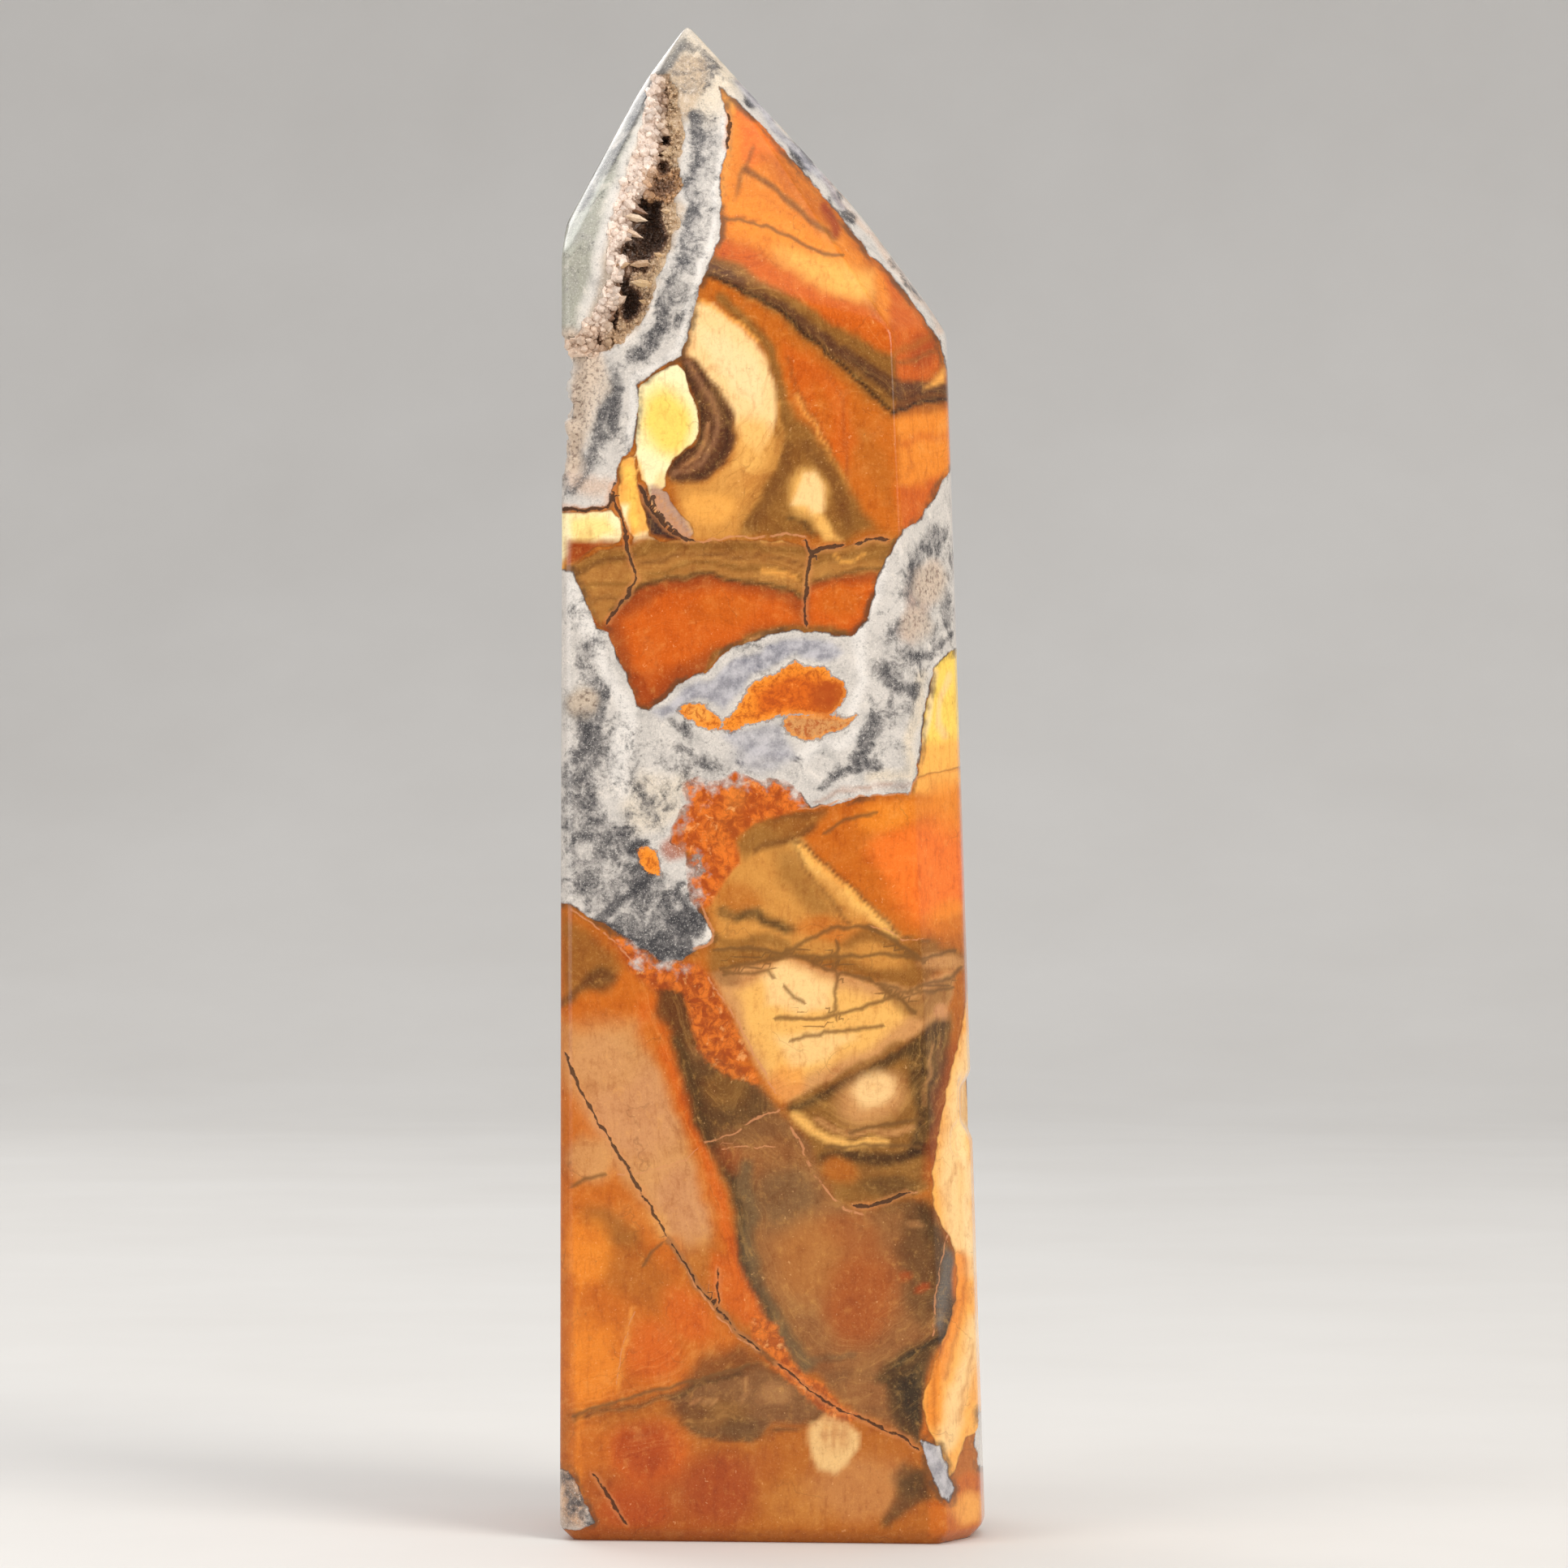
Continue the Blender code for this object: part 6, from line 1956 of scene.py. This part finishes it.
def quartz_colour(s, place, vein_edge):
    """White quartz, clouded with grey and peppered with dark grains."""
    dark, blue, sugary = s.parts("tone")
    cloud = s.noise(place, 0.26, 5.0, 0.6, 0.5)
    quartz = s.tint(s.attribute("quartz"), cloud, 0.46, 0.72, 0.5, QUARTZ_CLOUD)
    quartz = s.tint(quartz, cloud, 0.46, 0.24, 0.6, QUARTZ_GLOW)
    dark = s.plus(dark, s.step(s.noise(place, 0.11, 4.0, 0.6), 0.50, 0.70, 0.0, 0.55))
    lining = s.ridge(vein_edge, 0.8, 0.9, 0.3)
    lining = s.times(lining, s.step(s.noise(place, 0.2, 4.0, 0.6), 0.44, 0.60))
    grains = s.noise(place, 1.9, 4.0, 0.7)
    lumps = s.noise(place, 0.42, 6.0, 0.68, 0.6)
    haze = s.less(s.plus(s.times(dark, 0.40), lumps), s.times(lining, 0.12))
    quartz = s.tint(quartz, haze, 0.56, 1.02, 0.85, QUARTZ_HAZE)
    amount = s.plus(s.times(grains, 0.42), s.times(lumps, 0.50))
    amount = s.plus(amount, s.times(dark, 0.10))
    amount = s.less(amount, s.times(s.plus(lining, blue), 0.03))
    quartz = s.tint(quartz, amount, 0.475, 0.70, 0.9, QUARTZ_GRAIN)
    fleck = s.noise(place, 3.6, 4.0, 0.72)
    quartz = s.tint(quartz, fleck, 0.52, 0.72, 0.45, DARK_FLECK)
    quartz = s.tint(quartz, fleck, 0.46, 0.30, 0.5, PALE_FLECK)
    slate = s.mix(s.step(s.noise(place, 0.45, 5.0, 0.6), 0.34, 0.66), PALE_BLUE, DEEP_BLUE)
    quartz = s.cover(quartz, blue, 0.72, slate)
    # Pale and brown sugary crystals by noise, partly their own tone and partly painted light and shade of
    # their faces
    sugar = s.mix(s.step(s.noise(place, 1.5, 4.0, 0.62), 0.46, 0.68), PALE_SUGAR, BROWN_SUGAR)
    return s.cover(quartz, sugary, 0.75, sugar), grains, sugary


def with_veins(s, colour, place, vein_edge, in_vein, quartz, crumbs):
    """Quartz laid over the jasper, smoky round its edge and finely outlined where it isn't crumbly."""
    smoke_gate = s.step(s.noise(place, 0.2, 4.0, 0.6), 0.40, 0.60, 0.1, 0.75)
    colour = s.cover(colour, s.ridge(vein_edge, -0.3, 0.95, 0.1), smoke_gate, SMOKE)
    colour = s.mix(in_vein, colour, quartz)
    outline_gate = s.step(s.noise(place, 0.35, 4.0), 0.40, 0.58, 0.1, 0.75)
    outline = s.times(s.ridge(vein_edge, 0.02, 0.24, 0.04), outline_gate)
    return s.cover(colour, outline, s.less(1.0, crumbs), VEIN_OUTLINE)


def with_islands(s, colour, place, island_edge, grain):
    """Orange islands with a bright rim, and a shadow round them."""
    knots = s.noise(place, 0.9, 5.0, 0.7, 0.4)
    orange = s.tint(s.attribute("island"), knots, 0.44, 0.62, 0.75, ISLAND_RED)
    orange = s.tint(orange, knots, 0.42, 0.30, 0.5, ISLAND_GLOW)
    orange = s.tint(orange, grain, 0.50, 0.70, 0.45, ISLAND_GRAIN)
    orange = s.cover(orange, s.ridge(island_edge, 0.3, 0.35, 0.1), 0.3, ISLAND_RIM)
    colour = s.mix(s.step(island_edge, -0.06, 0.06), colour, orange)
    return s.cover(colour, s.ridge(island_edge, -0.14, 0.2, 0.04), 0.5, ISLAND_SHADOW)


def line_mask(s, name, wiggle, grow=0.0, soft=0.07):
    """1 on the painted lines of one kind."""
    offset, room, _ = s.parts(name)
    away = s.math("ABSOLUTE", s.plus(offset, wiggle))
    return s.step(s.less(s.plus(room, grow), away), -soft, soft)


def with_lines(s, colour, place, wiggle):
    """Pale seams and dark cracks laid over the stone, and the mask of the cracks."""
    seams = s.times(line_mask(s, "seam", wiggle, -0.03), s.step(s.noise(place, 0.7, 3.0), 0.36, 0.5))
    colour = s.cover(colour, seams, 0.72, SEAM)
    colour = s.cover(colour, line_mask(s, "crack", wiggle, 0.42, 0.4), 0.35, CRACK_HALO)
    cracks = line_mask(s, "crack", wiggle, s.times(s.swing(place, 0.8, 3.0), 0.9))
    return s.cover(colour, cracks, 0.86, CRACK), cracks


def stone_material():
    s = Shader("polished_breccia")
    place = s.millimetres()
    _, vein, island = s.parts("reach")
    _, _, crumbs = s.parts("bands")
    coarse = s.swing(place, 0.16, 3.0)
    middling = s.swing(place, 1.3, 5.0, 0.6)
    fine = s.swing(place, 4.6, 4.0, 0.6)
    ragged = s.plus(s.times(middling, 0.9), s.times(fine, 0.35))
    wiggle = s.times(middling, 0.5)
    colour, grain = jasper_colour(s, place, ragged, coarse, middling)
    colour = s.cover(colour, line_mask(s, "thread", wiggle, 0.12, 0.36), 0.78, THREAD)

    torn = s.times(s.times(crumbs, s.swing(place, 0.5, 5.0)), 12.0)
    vein_edge = s.plus(s.plus(vein, torn), s.times(ragged, 0.6))
    blur = s.plus(0.1, s.times(crumbs, 2.2))
    in_vein = s.step(vein_edge, s.times(blur, -1.0), blur)
    quartz, grains, sugary = quartz_colour(s, place, vein_edge)
    colour = with_veins(s, colour, place, vein_edge, in_vein, quartz, crumbs)
    colour = with_islands(s, colour, place, s.plus(island, s.times(ragged, 1.5)), grain)
    colour, cracks = with_lines(s, colour, place, wiggle)

    relief = s.plus(s.times(cracks, -1.0), s.times(s.times(sugary, grains), 2.2))
    normal = s.bump(relief, CRACK_DEPTH)
    pits = s.step(s.noise(place, 3.4, 3.0, 0.5), 0.70, 0.80)
    normal = s.bump(s.times(pits, -1.0), PIT_DEPTH, 0.6, normal)
    rough = s.blend(in_vein, JASPER_ROUGHNESS, QUARTZ_ROUGHNESS)
    rough = s.plus(rough, s.times(s.noise(place, 0.9, 4.0), 0.06))
    rough = s.blend(sugary, rough, SUGARY_ROUGHNESS)
    rough = s.blend(cracks, rough, CRACK_ROUGHNESS)
    s.finish(Base_Color=colour, Roughness=rough, Normal=normal)
    return s.finish(Specular_IOR_Level=STONE_REFLECTION)


def crust_material():
    s = Shader("quartz_druse")
    place = s.millimetres()
    # The stored colour holds the walls' painted light and painted shade
    colour = s.tint(s.attribute("tint"), s.noise(place, 1.1, 5.0, 0.6), 0.4, 0.7, 0.4, CRUST_BROWN)
    colour = s.tint(colour, s.noise(place, 3.0, 4.0, 0.6), 0.5, 0.75, 0.35, CRUST_GLOW)
    normal = s.bump(s.noise(place, 5.0, 5.0, 0.6), CRUST_BUMP)
    rough = s.step(s.noise(place, 2.0, 3.0), 0.3, 0.7, 0.2, 0.4)
    s.finish(Base_Color=colour, Roughness=rough, Normal=normal)
    return s.finish(Specular_IOR_Level=CRUST_REFLECTION)


def floor_material():
    s = Shader("pale_floor")
    colour = s.mix(s.noise(s.millimetres(), 0.01, 4.0), FLOOR_LIGHT, FLOOR_DARK)
    return s.finish(Base_Color=colour, Roughness=0.6)


# The stage: the floor's front, the bend where it curves up, and its top and half width
FLOOR_FRONT = -2.0
FLOOR_BEND = 1.2
SWEEP_RADIUS = 0.8
FLOOR_TOP = 3.0
FLOOR_HALF_WIDTH = 3.0

# Its lamps, turned to one place: name, place, width and height, power in watts and colour
LAMP_TARGET = (0.0, 0.0, 0.12)
LAMPS = [
    ("key", (0.9, -0.7, 0.75), (0.6, 0.9), 12.0, (1.0, 0.96, 0.9)),
    ("fill", (-0.9, -0.8, 0.45), (0.8, 0.8), 6.5, (1.0, 0.97, 0.94)),
    ("back", (-0.7, 0.9, 0.9), (0.6, 0.4), 4.0, (1.0, 1.0, 1.0)),
    ("top", (0.0, -0.2, 1.3), (0.9, 0.9), 1.5, (1.0, 1.0, 1.0)),
]

# The sun overhead, with its width in degrees, and the pale room around
SKY_POWER = 1.1
SKY_ANGLE = 70.0
ROOM_COLOUR = (0.95, 0.95, 1.0, 1.0)
ROOM_STRENGTH = 0.30


def make_floor():
    """A pale sweep: a level floor that curves up behind the tower."""
    profile = [(FLOOR_FRONT, 0.0), (FLOOR_BEND, 0.0)]
    for degrees in range(10, 91, 10):
        turn = math.radians(degrees)
        profile.append((FLOOR_BEND + SWEEP_RADIUS * math.sin(turn), SWEEP_RADIUS * (1.0 - math.cos(turn))))
    profile.append((FLOOR_BEND + SWEEP_RADIUS, FLOOR_TOP))
    count = len(profile)
    points = [(side, y, z) for side in (-FLOOR_HALF_WIDTH, FLOOR_HALF_WIDTH) for y, z in profile]
    faces = [(index, count + index, count + index + 1, index + 1) for index in range(count - 1)]
    mesh_object("floor", points, faces, floor_material())


def add_lamp(name, place, size, power, colour):
    data = bpy.data.lights.new(name, "AREA")
    data.shape = "RECTANGLE"
    data.size, data.size_y = size
    data.energy = power
    data.color = colour
    lamp = bpy.data.objects.new(name, data)
    lamp.location = place
    lamp.rotation_euler = (Vector(LAMP_TARGET) - Vector(place)).to_track_quat("-Z", "Y").to_euler()
    bpy.context.scene.collection.objects.link(lamp)


def light_stage():
    """A bright, soft room with four lamps and a wide sun overhead."""
    world = bpy.data.worlds.new("studio")
    world.use_nodes = True
    background = world.node_tree.nodes["Background"]
    background.inputs["Color"].default_value = ROOM_COLOUR
    background.inputs["Strength"].default_value = ROOM_STRENGTH
    bpy.context.scene.world = world
    for lamp in LAMPS:
        add_lamp(*lamp)
    sky = bpy.data.lights.new("sky", "SUN")
    sky.energy = SKY_POWER
    sky.angle = math.radians(SKY_ANGLE)
    bpy.context.scene.collection.objects.link(bpy.data.objects.new("sky", sky))


def make_camera():
    _, back = camera_axes()
    data = bpy.data.cameras.new("camera")
    data.sensor_width = SENSOR_WIDTH
    data.lens = FOCAL_PIXELS / PICTURE_SIDE * SENSOR_WIDTH
    data.dof.use_dof = False
    data.clip_start = NEAREST_SEEN
    data.clip_end = FURTHEST_SEEN
    camera = bpy.data.objects.new("camera", data)
    camera.location = Vector(camera_place())
    camera.rotation_mode = "QUATERNION"
    camera.rotation_quaternion = Vector(-back).to_track_quat("-Z", "Y")
    bpy.context.scene.collection.objects.link(camera)
    bpy.context.scene.camera = camera


def dress():
    stone = make_stone(stone_material())
    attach(stone, "root")
    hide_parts("tower")
    crust = make_crust(crust_material())
    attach(crust, "root")
    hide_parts("crystal_crust")


dress()
make_floor()
light_stage()
make_camera()
bpy.context.scene.view_settings.view_transform = "Standard"
